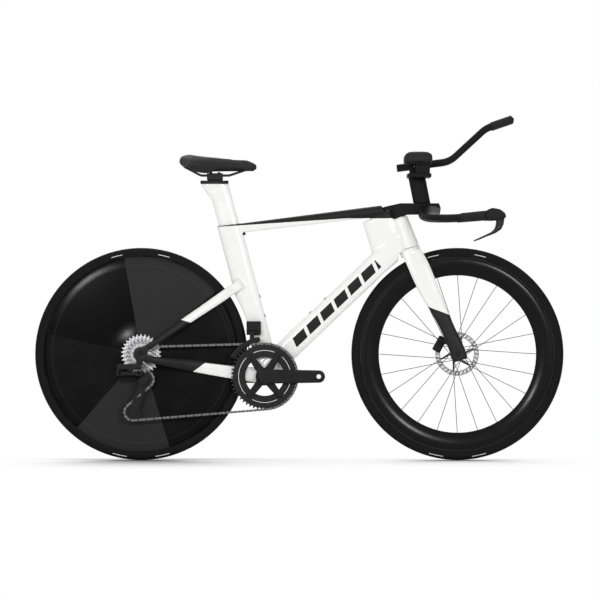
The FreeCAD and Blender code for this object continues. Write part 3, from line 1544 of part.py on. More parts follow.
nodes = {
    "front_triangle": [front],
    "rear_triangle": rear_halves,
    "bottom_bracket_cups": bottom_bracket(),
    "headset_bearings": headset_bearings(),
    "seat_wedge": [wedge_block(0.0)],
    "bottle_inserts": bottle_inserts(),
    "rear_caliper": [caliper(rear_caliper_centre, rear_rotor_side, -105.0, rear_frame)],
    "rear_thru_axle": [thru_axle(rear_axle, rear_hub_width / 2 + dropout_thickness, 4.0)],
    "front_derailleur_body": [front_derailleur_body(front)],
    "front_derailleur_cage": [front_derailleur_cage()],
    "chain_outer_links": chain_links(outer_link(), 0),
    "chain_inner_links": chain_links(inner_link(), 1),
    "derailleur_mount": [derailleur_mount()],
    "derailleur_outer_link": [derailleur_link(0.0)],
    "derailleur_inner_link": [derailleur_link(link_spacing)],
    "derailleur_knuckle": [derailleur_knuckle()],
    "derailleur_cage": [derailleur_cage()],
    "guide_pulley": [pulley(guide_pulley, 2)],
    "tension_pulley": [pulley(tension_pulley, 3)],
    "seatpost": [seatpost()],
    "saddle_track": [saddle_track()],
    "saddle_clamp": saddle_clamp(),
    "saddle_rails": rails,
    "saddle_base": [saddle_base(pad, rails)],
    "saddle_pad": [pad],
    "fork": [fork_body],
    "front_caliper": [caliper(front_caliper_centre, front_rotor_side, -61.0, fork_body)],
    "front_thru_axle": [thru_axle(front_axle, front_hub_width / 2 + fork_tip_width, 4.0)],
    "stem": [stem_body],
    "stem_cover": [stem_cover(stem_body)],
    "base_bar": [bar],
    "bar_grips": bar_grips(),
    "lever_bodies": [hood, mirrored(hood), pin, mirrored(pin)],
    "brake_lever_left": [lever],
    "brake_lever_right": [mirrored(lever)],
    "riser": [riser()],
    "riser_plate": [riser_plate()],
    "cockpit_bolts": cockpit_bolts(),
    "arm_cups": [arm_cup(-arm_side), arm_cup(arm_side)],
    "arm_pads": [arm_pad(-arm_side), arm_pad(arm_side)],
    "extension_tubes": [extension(-extension_side), extension(extension_side)],
    "extension_grips": [extension_grip(-extension_side), extension_grip(extension_side)],
    "shift_button_left": [shift_button(extension_side)],
    "shift_button_right": [shift_button(-extension_side)],
    "front_tyre": [tyre(front_axle)],
    "front_rim": [front_rim()],
    "front_spokes": front_spokes(),
    "front_hub": [front_hub()],
    "front_rotor": [rotor(front_axle, front_rotor_side)],
    "rear_tyre": [tyre(rear_axle)],
    "rear_disc": [rear_disc()],
    "rear_hub": [rear_hub()],
    "rear_rotor": [rotor(rear_axle, rear_rotor_side)],
    "freehub": [freehub()],
    "cassette": cassette(),
    "crank_right": [crank_right()],
    "crank_left": [crank_left()],
    "large_chainring": [chainring(large_teeth, large_ring_side, large_ring_band, wheel_phase(0))],
    "small_chainring": [chainring(small_teeth, small_ring_side, small_ring_band, 0.0)],
    "chainring_bolts": chainring_bolts(),
}

os.makedirs("parts", exist_ok=True)
for name, solids in nodes.items():
    shape = solids[0] if len(solids) == 1 else Part.makeCompound(solids)
    shape.exportStep("parts/" + name + ".step")
print(len(nodes), "nodes")
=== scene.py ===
import math

import bpy
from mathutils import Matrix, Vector


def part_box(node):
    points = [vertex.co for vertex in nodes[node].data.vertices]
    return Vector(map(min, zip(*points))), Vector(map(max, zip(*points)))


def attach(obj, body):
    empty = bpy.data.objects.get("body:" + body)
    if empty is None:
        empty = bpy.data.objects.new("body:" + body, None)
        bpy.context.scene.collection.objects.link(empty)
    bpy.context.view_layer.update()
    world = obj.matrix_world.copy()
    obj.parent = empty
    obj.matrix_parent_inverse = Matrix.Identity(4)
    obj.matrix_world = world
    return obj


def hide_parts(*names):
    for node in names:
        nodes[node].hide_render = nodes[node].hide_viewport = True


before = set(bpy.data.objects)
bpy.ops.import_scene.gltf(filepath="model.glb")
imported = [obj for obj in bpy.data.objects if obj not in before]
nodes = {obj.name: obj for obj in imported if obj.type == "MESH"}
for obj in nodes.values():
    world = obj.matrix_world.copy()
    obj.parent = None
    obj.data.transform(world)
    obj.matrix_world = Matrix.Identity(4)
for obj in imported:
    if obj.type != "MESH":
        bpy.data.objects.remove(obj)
scene = bpy.context.scene
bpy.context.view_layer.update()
print("frame loaded with", len(nodes), "nodes")


# shader sums

class Wire:
    # a shader socket that takes part in plain sums
    def __init__(self, tree, socket=None):
        self.tree = tree
        self.socket = socket

    def node(self, kind, settings=None, sockets=None, out=0):
        made = self.tree.nodes.new(kind)
        for name, value in (settings or {}).items():
            setattr(made, name, value)
        for name, value in (sockets or {}).items():
            if isinstance(value, Wire):
                self.tree.links.new(value.socket, made.inputs[name])
            else:
                made.inputs[name].default_value = value
        return Wire(self.tree, made.outputs[out])

    def sums(self, operation, first, second=0.0):
        return self.node("ShaderNodeMath", {"operation": operation}, {0: first, 1: second})

    def __add__(self, other):
        return self.sums("ADD", self, other)

    def __radd__(self, other):
        return self.sums("ADD", other, self)

    def __sub__(self, other):
        return self.sums("SUBTRACT", self, other)

    def __rsub__(self, other):
        return self.sums("SUBTRACT", other, self)

    def __mul__(self, other):
        return self.sums("MULTIPLY", self, other)

    def __rmul__(self, other):
        return self.sums("MULTIPLY", other, self)

    def __truediv__(self, other):
        return self.sums("DIVIDE", self, other)

    def __rtruediv__(self, other):
        return self.sums("DIVIDE", other, self)

    def __mod__(self, other):
        return self.sums("FLOORED_MODULO", self, other)

    def __gt__(self, other):
        return self.sums("GREATER_THAN", self, other)

    def __lt__(self, other):
        return self.sums("LESS_THAN", self, other)

    def atMost(self, other):
        return self.sums("MINIMUM", self, other)

    def atLeast(self, other):
        return self.sums("MAXIMUM", self, other)

    def size(self):
        return self.sums("ABSOLUTE", self)

    def root(self):
        return self.sums("SQRT", self)

    def floor(self):
        return self.sums("FLOOR", self)

    def wave(self):
        # a sine with one period for each whole number
        return self.sums("SINE", self * math.tau)

    def bearing(self, other):
        # the angle in degrees, from 0 to 360, with the other as the level side
        return (self.sums("ARCTAN2", self, other) * math.degrees(1.0) + 360.0) % 360.0

    def rise(self, low, high):
        # 0 below low, 1 above high, smooth between
        return self.node("ShaderNodeMapRange", {"interpolation_type": "SMOOTHSTEP"},
                         {"Value": self, "From Min": low, "From Max": high})

    def band(self, low, high, soft):
        return self.rise(low - soft, low + soft) * (1 - self.rise(high - soft, high + soft))

    def bands(self, ranges, soft):
        total = self.band(*ranges[0], soft)
        for low, high in ranges[1:]:
            total = total + self.band(low, high, soft)
        return total

    def mix(self, share, first, second):
        return self.node("ShaderNodeMix", {"data_type": "RGBA"}, {0: share, 6: first, 7: second}, 2)

    def shade(self, level, blue=None):
        # a neutral colour from one level, with its own blue where one is given
        channels = {0: level, 1: level, 2: level if blue is None else blue}
        return self.node("ShaderNodeCombineColor", None, channels)

    def place(self):
        coords = self.node("ShaderNodeTexCoord", out=3)
        parts = self.tree.nodes.new("ShaderNodeSeparateXYZ")
        self.tree.links.new(coords.socket, parts.inputs[0])
        return coords, [Wire(self.tree, parts.outputs[axis]) for axis in range(3)]

    def noise(self, coords, scale, detail=3.0):
        return self.node("ShaderNodeTexNoise", None, {"Vector": coords, "Scale": scale, "Detail": detail})

    def grain(self, coords, scale):
        return self.noise(coords, scale, 2.0)

    def cells(self, coords, kind, scale):
        return self.node("ShaderNodeTexVoronoi", {"feature": kind}, {"Vector": coords, "Scale": scale})


def grey(level, tint=(1.0, 1.0, 1.0)):
    return [level * share for share in tint] + [1.0]


finishes = {}
coolTint = (1.0, 1.0, 1.02)


def newFinish(name, **fixed):
    # principled shader with the values that stay the same all over
    material = bpy.data.materials.new(name)
    material.use_nodes = True
    tree = material.node_tree
    tree.nodes.clear()
    shader = tree.nodes.new("ShaderNodeBsdfPrincipled")
    out = tree.nodes.new("ShaderNodeOutputMaterial")
    tree.links.new(shader.outputs[0], out.inputs[0])
    for socket, value in fixed.items():
        shader.inputs[socket.replace("_", " ")].default_value = value
    finishes[name] = material
    return Wire(tree), shader


def feed(wire, shader, color, rough, bump, depth, share, metal=None, form=None):
    wire.tree.links.new(color.socket, shader.inputs["Base Color"])
    wire.tree.links.new(rough.socket, shader.inputs["Roughness"])
    if metal is not None:
        wire.tree.links.new(metal.socket, shader.inputs["Metallic"])
    sockets = {"Strength": share, "Distance": depth, "Height": bump}
    if form is not None:
        # a broad form in metres under the fine grain
        broad = {"Strength": 1.0, "Distance": 1.0, "Height": form}
        sockets["Normal"] = wire.node("ShaderNodeBump", None, broad)
    tilt = wire.node("ShaderNodeBump", None, sockets)
    wire.tree.links.new(tilt.socket, shader.inputs["Normal"])


# places seen from the side, as x and z

def middleOf(nodeName):
    low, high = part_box(nodeName)
    return (low.x + high.x) / 2, (low.z + high.z) / 2


rearAxle = middleOf("rear_tyre")
frontAxle = middleOf("front_tyre")
crankAxle = middleOf("bottom_bracket_cups")


def roundPlace(axes, centre):
    # distance from an axle and angle round it
    dx = axes[0] - centre[0]
    dz = axes[2] - centre[1]
    return (dx * dx + dz * dz).root(), dz.bearing(dx)


def toward(axes, start, heading):
    # 0 at the start, growing along the heading
    return (axes[0] - start[0]) * heading[0] + (axes[2] - start[1]) * heading[1]


def turnedMarks(wire, radius, angle, y, scales):
    # fine rings round an axle
    marks = {0: radius * scales[0], 1: angle * scales[1], 2: y * scales[2]}
    return wire.noise(wire.node("ShaderNodeCombineXYZ", None, marks), 1.0)


# gloss white paint, shared by the frame, the fork and the post
paint = {
    "white": grey(0.89, (1.0, 1.0, 0.995)), "shade": grey(0.86, (1.0, 1.0, 0.99)), "cloudScale": 3.0,
    "rough": 0.20, "peelRough": 0.05, "peelScale": 420.0, "peelDepth": 0.00003, "peelShare": 0.25,
    "specular": 0.10, "coat": 0.6, "coatRough": 0.08,
}
frameLook = {
    "black": grey(0.011), "blackRough": 0.16, "edge": 0.0005,
    "stripStart": (-0.262, 0.745), "stripSlope": 0.0656, "stripFlat": 0.7722, "stripEnd": 0.316,
    "stripAbove": 0.70, "staysBehind": -0.29, "staysSplit": 0.372,
    "chainStayCut": ((-0.303, 0.309), (-0.589, 0.808)), "seatStayCut": ((-0.378, 0.449), (-0.29, -0.957)),
    "guardTop": ((-0.27, 0.307), (0.123, 1.0)), "guardSpan": (-0.310, -0.212), "guardBelow": 0.33,
    "barStart": (-0.1105, 0.2838), "barHeading": (0.7252, 0.6885), "barOut": 0.012,
    "barLength": 0.060, "barGap": 0.20, "barGapEdge": 0.01, "barSlant": 0.35, "barHalf": 0.0150,
    "barSpan": (0.128, 0.500),
}
forkLook = {
    "cut": ((0.416, 0.488), (-0.381, -1.0)), "edge": 0.0006, "blackRough": 0.2,
    "dark": grey(0.008), "light": grey(0.020), "weaveScale": 60.0,
}
postLook = {"specular": 0.4, "coat": 0.5, "peelRough": 0.06}


def cloudyWhite(wire, coords):
    return wire.mix(wire.noise(coords, paint["cloudScale"]), paint["white"], paint["shade"])


def framePaint():
    look = frameLook
    wire, shader = newFinish("framePaint", Specular_IOR_Level=paint["specular"],
                             Coat_Roughness=paint["coatRough"])
    coords, axes = wire.place()
    x, y, z = axes
    edge = look["edge"]
    # satin black strip along the top tube
    start = look["stripStart"]
    stripLine = ((x - start[0]) * look["stripSlope"] + start[1]).atMost(look["stripFlat"])
    strip = (z - stripLine).rise(-edge, edge) * (x < look["stripEnd"]) * (z > look["stripAbove"])
    # rear ends of the stays
    low = z < look["staysSplit"]
    chainEnd = toward(axes, *look["chainStayCut"]).rise(-edge, edge) * low
    seatEnd = toward(axes, *look["seatStayCut"]).rise(-edge, edge) * (1 - low)
    stays = (chainEnd + seatEnd) * (x < look["staysBehind"])
    # guard on the right chain stay
    guard = toward(axes, *look["guardTop"]).rise(-edge, edge) * x.band(*look["guardSpan"], edge)
    guard = guard * (y < 0.0) * (z < look["guardBelow"])
    # plain slanted bars along the down tube
    heading = look["barHeading"]
    along = toward(axes, look["barStart"], heading)
    beside = toward(axes, look["barStart"], (-heading[1], heading[0]))
    step = ((along - beside * look["barSlant"]) / look["barLength"]) % 1.0
    bars = step.rise(look["barGap"] - look["barGapEdge"], look["barGap"])
    bars = bars * beside.band(-look["barHalf"], look["barHalf"], edge)
    bars = bars * along.band(*look["barSpan"], edge) * (y.size() > look["barOut"])
    black = (strip + stays + guard + bars).atMost(1.0)
    peel = wire.grain(coords, paint["peelScale"])
    color = wire.mix(black, cloudyWhite(wire, coords), look["black"])
    rough = paint["rough"] + black * look["blackRough"] + peel * paint["peelRough"]
    feed(wire, shader, color, rough, peel, paint["peelDepth"], paint["peelShare"])
    wire.tree.links.new((paint["coat"] - black * paint["coat"]).socket, shader.inputs["Coat Weight"])


def forkPaint():
    look = forkLook
    wire, shader = newFinish("forkPaint", Specular_IOR_Level=paint["specular"],
                             Coat_Roughness=paint["coatRough"])
    coords, axes = wire.place()
    below = toward(axes, *look["cut"]).rise(-look["edge"], look["edge"])
    peel = wire.grain(coords, paint["peelScale"])
    black = wire.mix(wire.noise(coords, look["weaveScale"]), look["dark"], look["light"])
    color = wire.mix(below, cloudyWhite(wire, coords), black)
    rough = paint["rough"] + below * look["blackRough"] + peel * paint["peelRough"]
    feed(wire, shader, color, rough, peel, paint["peelDepth"], paint["peelShare"])
    wire.tree.links.new((paint["coat"] - below * paint["coat"]).socket, shader.inputs["Coat Weight"])


def postPaint():
    look = postLook
    wire, shader = newFinish("postPaint", Specular_IOR_Level=look["specular"], Coat_Weight=look["coat"],
                             Coat_Roughness=paint["coatRough"])
    coords = wire.place()[0]
    peel = wire.grain(coords, paint["peelScale"])
    rough = paint["rough"] + peel * look["peelRough"]
    feed(wire, shader, cloudyWhite(wire, coords), rough, peel, paint["peelDepth"], paint["peelShare"])


# the disc's sectors are angles in degrees, forward from the axle as 0
discLook = {
    "specular": 0.05, "paintedSheenSectors": ((40.0, 100.0), (229.0, 287.0)), "plainSector": (100.0, 168.0),
    "edge": 0.25, "plyPitch": 0.0095, "plyLine": (0.2, 0.9), "patchScale": 14.0, "patchLine": (0.42, 0.6),
    "ring": (0.2835, 0.2847), "ringEdge": 0.0004, "toneScale": 30.0,
    "level": 0.0006, "paintedSheenLevel": 0.021, "plyLevel": 0.006, "paintedRingHighlight": 0.02, "toneLevel": 0.0015,
    "rough": 0.38, "palerRough": 0.07, "plainRough": -0.21, "rimRough": 0.40, "rimLine": (0.3010, 0.3060),
    "grainScale": 700.0, "grainShare": 0.5, "plyShare": 0.1, "bumpDepth": 0.00005, "bumpShare": 0.3,
    "shoulderFrom": 0.2790, "shoulderReach": 0.050, "shoulderDrop": 0.0051,
    "hubFrom": 0.115, "hubReach": 0.060, "hubRise": 0.0056,
}


def discCarbon():
    # five lay-up sectors: two paler with a painted sheen, one glossier and two with fine ply lines
    look = discLook
    wire, shader = newFinish("discCarbon", Specular_IOR_Level=look["specular"])
    coords, axes = wire.place()
    radius, angle = roundPlace(axes, rearAxle)
    # painted sheen: two sectors paler in colour, standing in for the sheen of their plies
    paintedSheen = angle.bands(look["paintedSheenSectors"], look["edge"])
    plain = angle.band(*look["plainSector"], look["edge"])
    ruled = (1 - paintedSheen - plain).atLeast(0.0)
    ply = ((axes[0] - axes[2]) * math.sqrt(0.5) / look["plyPitch"]).wave()
    patches = wire.noise(coords, look["patchScale"]).rise(*look["patchLine"])
    lines = ply.rise(*look["plyLine"]) * patches * ruled
    # a thin crease: a groove in the bump, with a painted highlight along it in the colour
    ring = radius.band(*look["ring"], look["ringEdge"])
    level = look["level"] + paintedSheen * look["paintedSheenLevel"] + lines * look["plyLevel"] + ring * look["paintedRingHighlight"]
    level = level + wire.noise(coords, look["toneScale"]) * look["toneLevel"]
    rough = look["rough"] + paintedSheen * look["palerRough"] + plain * look["plainRough"]
    rough = rough + radius.rise(*look["rimLine"]) * look["rimRough"]
    bump = wire.grain(coords, look["grainScale"]) * look["grainShare"] + ply * look["plyShare"] - ring
    shoulder = ((radius - look["shoulderFrom"]) / look["shoulderReach"]).atLeast(0.0)
    hub = ((look["hubFrom"] - radius) / look["hubReach"]).atLeast(0.0)
    form = hub * hub * look["hubRise"] - shoulder * shoulder * look["shoulderDrop"]
    feed(wire, shader, wire.shade(level), rough, bump, look["bumpDepth"], look["bumpShare"], form=form)


rimLook = {
    "specular": 0.10, "toneScale": 25.0, "edge": (0.3085, 0.3100), "edgeSoft": 0.0004,
    "level": 0.0025, "toneLevel": 0.003, "paintedEdgeHighlight": 0.03,
    "rough": 0.16, "toneRough": 0.06, "rimRough": 0.50, "rimLine": (0.3000, 0.3050),
    "grainScale": 700.0, "bumpDepth": 0.00004, "bumpShare": 0.2,
    "shoulderFrom": 0.2830, "shoulderReach": 0.028, "shoulderDrop": 0.0015,
}


def rimCarbon():
    look = rimLook
    wire, shader = newFinish("rimCarbon", Specular_IOR_Level=look["specular"])
    coords, axes = wire.place()
    radius = roundPlace(axes, frontAxle)[0]
    tone = wire.noise(coords, look["toneScale"])
    # painted highlight: a thin paler band along the rim's outer edge
    edge = radius.band(*look["edge"], look["edgeSoft"])
    level = look["level"] + tone * look["toneLevel"] + edge * look["paintedEdgeHighlight"]
    rough = look["rough"] + tone * look["toneRough"] + radius.rise(*look["rimLine"]) * look["rimRough"]
    shoulder = ((radius - look["shoulderFrom"]) / look["shoulderReach"]).atLeast(0.0)
    crown = shoulder * shoulder * -look["shoulderDrop"]
    grain = wire.grain(coords, look["grainScale"])
    feed(wire, shader, wire.shade(level), rough, grain, look["bumpDepth"], look["bumpShare"], form=crown)


tyreLook = {
    "specular": 0.08, "upperLines": ((73.7, 80.2), (100.8, 107.1)), "upperRing": (0.3208, 0.3228),
    "lowerLines": ((254.0, 262.0), (278.0, 286.0)), "lowerRing": (0.3288, 0.3308),
    "endEdge": 0.1, "ringEdge": 0.0003, "lineOut": 0.004, "line": grey(0.75),
    "toneScale": 20.0, "dark": grey(0.004), "light": grey(0.008), "rough": 0.62, "toneRough": 0.12,
    "threadTurn": 12.0, "threadPitch": 900.0, "thread": (0.2, 0.8), "threadEdge": 0.15,
    "tread": (0.333, 0.336), "bumpDepth": 0.00008, "bumpShare": 0.35,
}


def tyreRubber(name, centre):
    # matt rubber with two pairs of thin pale lines on the sidewalls
    look = tyreLook
    wire, shader = newFinish(name, Specular_IOR_Level=look["specular"])
    coords, axes = wire.place()
    radius, angle = roundPlace(axes, centre)
    upper = radius.band(*look["upperRing"], look["ringEdge"])
    upper = upper * angle.bands(look["upperLines"], look["endEdge"])
    lower = radius.band(*look["lowerRing"], look["ringEdge"])
    lower = lower * angle.bands(look["lowerLines"], look["endEdge"])
    lines = (upper + lower) * (axes[1].size() > look["lineOut"])
    tone = wire.noise(coords, look["toneScale"])
    casing = (angle * look["threadTurn"] + radius * look["threadPitch"]) % 1.0
    casing = casing.band(*look["thread"], look["threadEdge"]) * (1 - radius.rise(*look["tread"]))
    color = wire.mix(lines, wire.mix(tone, look["dark"], look["light"]), look["line"])
    rough = look["rough"] + tone * look["toneRough"]
    feed(wire, shader, color, rough, casing, look["bumpDepth"], look["bumpShare"])


rotorLook = {
    "specular": 0.5, "band": (0.0532, 0.0538), "marks": (900.0, 0.02, 0.0), "carrier": grey(0.012),
    "dark": grey(0.09), "light": grey(0.28, coolTint), "rough": 0.42, "bandRough": -0.12, "markRough": 0.1,
    "bumpDepth": 0.00003, "bumpShare": 0.3,
}


def rotorSteel(name, centre):
    # ground steel band on a black carrier
    look = rotorLook
    wire, shader = newFinish(name, Specular_IOR_Level=look["specular"])
    axes = wire.place()[1]
    radius, angle = roundPlace(axes, centre)
    band = radius.rise(*look["band"])
    brush = turnedMarks(wire, radius, angle, axes[1], look["marks"])
    color = wire.mix(band, look["carrier"], wire.mix(brush, look["dark"], look["light"]))
    rough = look["rough"] + band * look["bandRough"] + brush * look["markRough"]
    feed(wire, shader, color, rough, brush, look["bumpDepth"], look["bumpShare"], band)


hubLook = {
    "specular": 0.5, "metal": 0.6, "marks": (1500.0, 0.05, 40.0),
    "dark": grey(0.03), "light": grey(0.06, coolTint), "rough": 0.34, "markRough": 0.12,
    "bumpDepth": 0.00003, "bumpShare": 0.25,
}


def hubAlloy():
    look = hubLook
    wire, shader = newFinish("hubAlloy", Specular_IOR_Level=look["specular"], Metallic=look["metal"])
    axes = wire.place()[1]
    radius, angle = roundPlace(axes, frontAxle)
    rings = turnedMarks(wire, radius, angle, axes[1], look["marks"])
    color = wire.mix(rings, look["dark"], look["light"])
    rough = look["rough"] + rings * look["markRough"]
    feed(wire, shader, color, rough, rings, look["bumpDepth"], look["bumpShare"])


# cogs are counted outward from the first one's side; each one's tip follows from its number
cogLook = {
    "specular": 0.5, "metal": 0.9, "firstSide": 0.0245, "pitch": 0.00355,
    "firstTip": 0.0605, "tipStep": 0.0040, "tipEasing": 0.000075, "toothDepth": 0.010,
    "depthLine": (0.25, 1.0), "marks": (1500.0, 0.05, 40.0), "stepTurn": 0.618,
    "level": 0.30, "stepLevel": 0.22, "markLevel": 0.10,
    "paintedRootShade": 0.72, "rough": 0.26, "markRough": 0.14, "depthRough": 0.1,
    "bumpDepth": 0.00003, "bumpShare": 0.25,
}


def cogSteel():
    # bright cogs with turned marks, each a step in tone from the next, and painted shade that darkens each
    # cog below its teeth, towards its carrier
    look = cogLook
    wire, shader = newFinish("cogSteel", Specular_IOR_Level=look["specular"], Metallic=look["metal"])
    axes = wire.place()[1]
    radius, angle = roundPlace(axes, rearAxle)
    number = ((axes[1] * -1.0 - look["firstSide"]) / look["pitch"]).floor()
    tip = look["firstTip"] - number * look["tipStep"] + number * number * look["tipEasing"]
    # painted shade: each cog darkens below its teeth, next to the smaller cog in front of it
    depth = ((tip - radius) / look["toothDepth"]).rise(*look["depthLine"])
    turned = turnedMarks(wire, radius, angle, axes[1], look["marks"])
    step = (number * look["stepTurn"]) % 1.0
    level = look["level"] + step * look["stepLevel"] + turned * look["markLevel"]
    level = level * (1 - depth * look["paintedRootShade"])
    rough = look["rough"] + turned * look["markRough"] + depth * look["depthRough"]
    color = wire.shade(level, level * coolTint[2])
    feed(wire, shader, color, rough, turned, look["bumpDepth"], look["bumpShare"])


ringLook = {
    "specular": 0.14, "groove": (0.0824, 0.0838), "grooveEdge": 0.0002, "endEdge": 1.0,
    "grooveArcs": ((8.0, 48.0), (68.0, 115.0), (135.0, 222.0), (242.0, 298.0), (318.0, 352.0)),
    "wornLine": (0.1065, 0.1075), "wornShare": 0.25, "toneScale": 60.0,
    "dark": grey(0.004), "light": grey(0.010), "bright": grey(0.55),
    "rough": 0.40, "grooveRough": -0.12, "toneRough": 0.06,
    "grainScale": 600.0, "bumpDepth": 0.00005, "bumpShare": 0.3,
}


def ringBlack():
    # black chainring face with a thin bright machined groove
    look = ringLook
    wire, shader = newFinish("ringBlack", Specular_IOR_Level=look["specular"])
    coords, axes = wire.place()
    radius, angle = roundPlace(axes, crankAxle)
    groove = radius.band(*look["groove"], look["grooveEdge"])
    groove = groove * angle.bands(look["grooveArcs"], look["endEdge"])
    worn = radius.rise(*look["wornLine"])
    tone = wire.noise(coords, look["toneScale"])
    bare = (groove + worn * look["wornShare"]).atMost(1.0)
    color = wire.mix(bare, wire.mix(tone, look["dark"], look["light"]), look["bright"])
    rough = look["rough"] + groove * look["grooveRough"] + tone * look["toneRough"]
    bump = wire.grain(coords, look["grainScale"]) - groove
    feed(wire, shader, color, rough, bump, look["bumpDepth"], look["bumpShare"], groove)


chainLook = {
    "specular": 0.5, "metal": 0.85, "oilScale": 260.0, "rough": 0.30, "oilRough": 0.2,
    "bumpDepth": 0.00004, "bumpShare": 0.3,
}


def chainSteel(name, dark, light):
    look = chainLook
    wire, shader = newFinish(name, Specular_IOR_Level=look["specular"], Metallic=look["metal"])
    oil = wire.noise(wire.place()[0], look["oilScale"])
    color = wire.mix(oil, grey(dark), grey(light))
    rough = look["rough"] + oil * look["oilRough"]
    feed(wire, shader, color, rough, oil, look["bumpDepth"], look["bumpShare"])


gripLook = {
    "specular": 0.12, "slant": 0.35, "rib": (0.18, 0.82), "ribEdge": 0.14, "grainScale": 900.0,
    "toneScale": 50.0, "groove": grey(0.005), "dark": grey(0.012), "light": grey(0.022),
    "rough": 0.55, "grainRough": 0.15, "grainShare": 0.15, "bumpDepth": 0.0005, "bumpShare": 0.6,
}


def gripRubber(name, heading, pitch):
    # ribs across the grip and a fine rubber grain
    look = gripLook
    wire, shader = newFinish(name, Specular_IOR_Level=look["specular"])
    coords, (x, y, z) = wire.place()
    along = x * heading[0] + z * heading[1] + y * look["slant"]
    ribs = ((along / pitch) % 1.0).band(*look["rib"], look["ribEdge"])
    grain = wire.grain(coords, look["grainScale"])
    rubber = wire.mix(wire.noise(coords, look["toneScale"]), look["dark"], look["light"])
    color = wire.mix(ribs, look["groove"], rubber)
    rough = look["rough"] + grain * look["grainRough"]
    feed(wire, shader, color, rough, ribs + grain * look["grainShare"], look["bumpDepth"], look["bumpShare"])


coverLook = {
    "specular": 0.15, "seamAt": (-0.338, 0.965), "seamLean": 0.55, "tailEdge": 0.0006,
    "seamHalf": 0.0016, "seamEdge": 0.0004, "seam": grey(0.006),
    "stitchRow": (0.0030, 0.0042), "rowEdge": 0.0003, "stitchPitch": 0.0042, "stitch": (0.2, 0.75),
    "stitchEdge": 0.08, "thread": grey(0.10), "grainScale": 900.0, "toneScale": 40.0,
    "dark": (grey(0.011), grey(0.019)), "tail": (grey(0.030), grey(0.042)), "rough": 0.48, "toneRough": 0.12,
    "grainShare": 0.25, "stitchShare": 0.5, "bumpDepth": 0.0005, "bumpShare": 0.5,
}


def saddleCover():
    # dark cover, slightly paler tail panel and a stitched seam between
    look = coverLook
    wire, shader = newFinish("saddleCover", Specular_IOR_Level=look["specular"])
    coords, (x, y, z) = wire.place()
    ahead = x - ((z - look["seamAt"][1]) * look["seamLean"] + look["seamAt"][0])
    tail = 1 - ahead.rise(-look["tailEdge"], look["tailEdge"])
    seam = ahead.band(-look["seamHalf"], look["seamHalf"], look["seamEdge"])
    stitch = (((z + y) / look["stitchPitch"]) % 1.0).band(*look["stitch"], look["stitchEdge"])
    stitch = ahead.band(*look["stitchRow"], look["rowEdge"]) * stitch
    grain = wire.cells(coords, "SMOOTH_F1", look["grainScale"])
    tone = wire.noise(coords, look["toneScale"])
    color = wire.mix(tail, wire.mix(tone, *look["dark"]), wire.mix(tone, *look["tail"]))
    color = wire.mix(stitch, color, look["thread"])
    color = wire.mix(seam, color, look["seam"])
    rough = look["rough"] + tone * look["toneRough"]
    bump = grain * look["grainShare"] - seam + stitch * look["stitchShare"]
    feed(wire, shader, color, rough, bump, look["bumpDepth"], look["bumpShare"])


padLook = {
    "specular": 0.15, "cellScale": 420.0, "toneScale": 35.0, "dark": grey(0.016), "light": grey(0.024),
    "gap": grey(0.006), "rough": 0.46, "toneRough": 0.14, "bumpDepth": 0.0004, "bumpShare": 0.5,
}


def padFabric():
    # knitted pad cover: small round cells
    look = padLook
    wire, shader = newFinish("padFabric", Specular_IOR_Level=look["specular"])
    coords = wire.place()[0]
    cells = wire.cells(coords, "F1", look["cellScale"])
    tone = wire.noise(coords, look["toneScale"])
    color = wire.mix(cells, wire.mix(tone, look["dark"], look["light"]), look["gap"])
    rough = look["rough"] + tone * look["toneRough"]
    feed(wire, shader, color, rough, 1 - cells, look["bumpDepth"], look["bumpShare"])


satinLook = {"toneScale": 45.0, "noiseMiddle": 0.5, "grainRough": 0.08, "bumpShare": 0.35}

# black surfaces: dark and light level, roughness and its spread, specular level
# and, where it has its own, the grain's scale and depth
satins = {
    "satinCarbon": (0.007, 0.014, 0.50, 0.10, 0.05),
    "crankBlack": (0.004, 0.010, 0.32, 0.10, 0.12),
    "blackAlloy": (0.004, 0.009, 0.34, 0.10, 0.12),
    "glossBlack": (0.003, 0.006, 0.16, 0.06, 0.22),
    "hoodRubber": (0.006, 0.011, 0.48, 0.10, 0.09, 1100.0, 0.0001),
    "spokeBlack": (0.006, 0.012, 0.35, 0.10, 0.25),
    "railBlack": (0.008, 0.016, 0.40, 0.10, 0.22),
}


def satinFinish(name, dark, light, middleRough, spread, specular, grainScale=500.0, grainDepth=0.00004):
    # black moulded or anodised surface: slow tone change and a fine grain
    wire, shader = newFinish(name, Specular_IOR_Level=specular)
    coords = wire.place()[0]
    tone = wire.noise(coords, satinLook["toneScale"])
    grain = wire.grain(coords, grainScale)
    color = wire.mix(tone, grey(dark), grey(light))
    middle = satinLook["noiseMiddle"]
    rough = middleRough + (tone - middle) * spread + (grain - middle) * satinLook["grainRough"]
    feed(wire, shader, color, rough, grain, grainDepth, satinLook["bumpShare"])


framePaint()
forkPaint()
postPaint()
discCarbon()
rimCarbon()
tyreRubber("rearTyreRubber", rearAxle)
tyreRubber("frontTyreRubber", frontAxle)
rotorSteel("rearRotorSteel", rearAxle)
rotorSteel("frontRotorSteel", frontAxle)
cogSteel()
hubAlloy()
ringBlack()
chainSteel("outerLinkSteel", dark=0.05, light=0.13)
chainSteel("innerLinkSteel", dark=0.025, light=0.06)
chainSteel("boltSteel", dark=0.30, light=0.48)
gripRubber("barTape", heading=(1.0, 0.0), pitch=0.0075)
gripRubber("extensionTape", heading=(0.946, 0.324), pitch=0.0060)
saddleCover()
padFabric()
for name, values in satins.items():
    satinFinish(name, *values)
print("finishes:", len(finishes))


# shaping helpers

shaping = {"weld": 0.00001, "easing": 0.5, "smoothAngle": 32.0, "clothSteps": 20}


def clearSelection():
    bpy.ops.object.select_all(action="DESELECT")


def makeActive(piece):
    clearSelection()
    piece.select_set(True)
    bpy.context.view_layer.objects.active = piece


def applyAll(piece):
    makeActive(piece)
    for name in [modifier.name for modifier in piece.modifiers]:
        bpy.ops.object.modifier_apply(modifier=name)


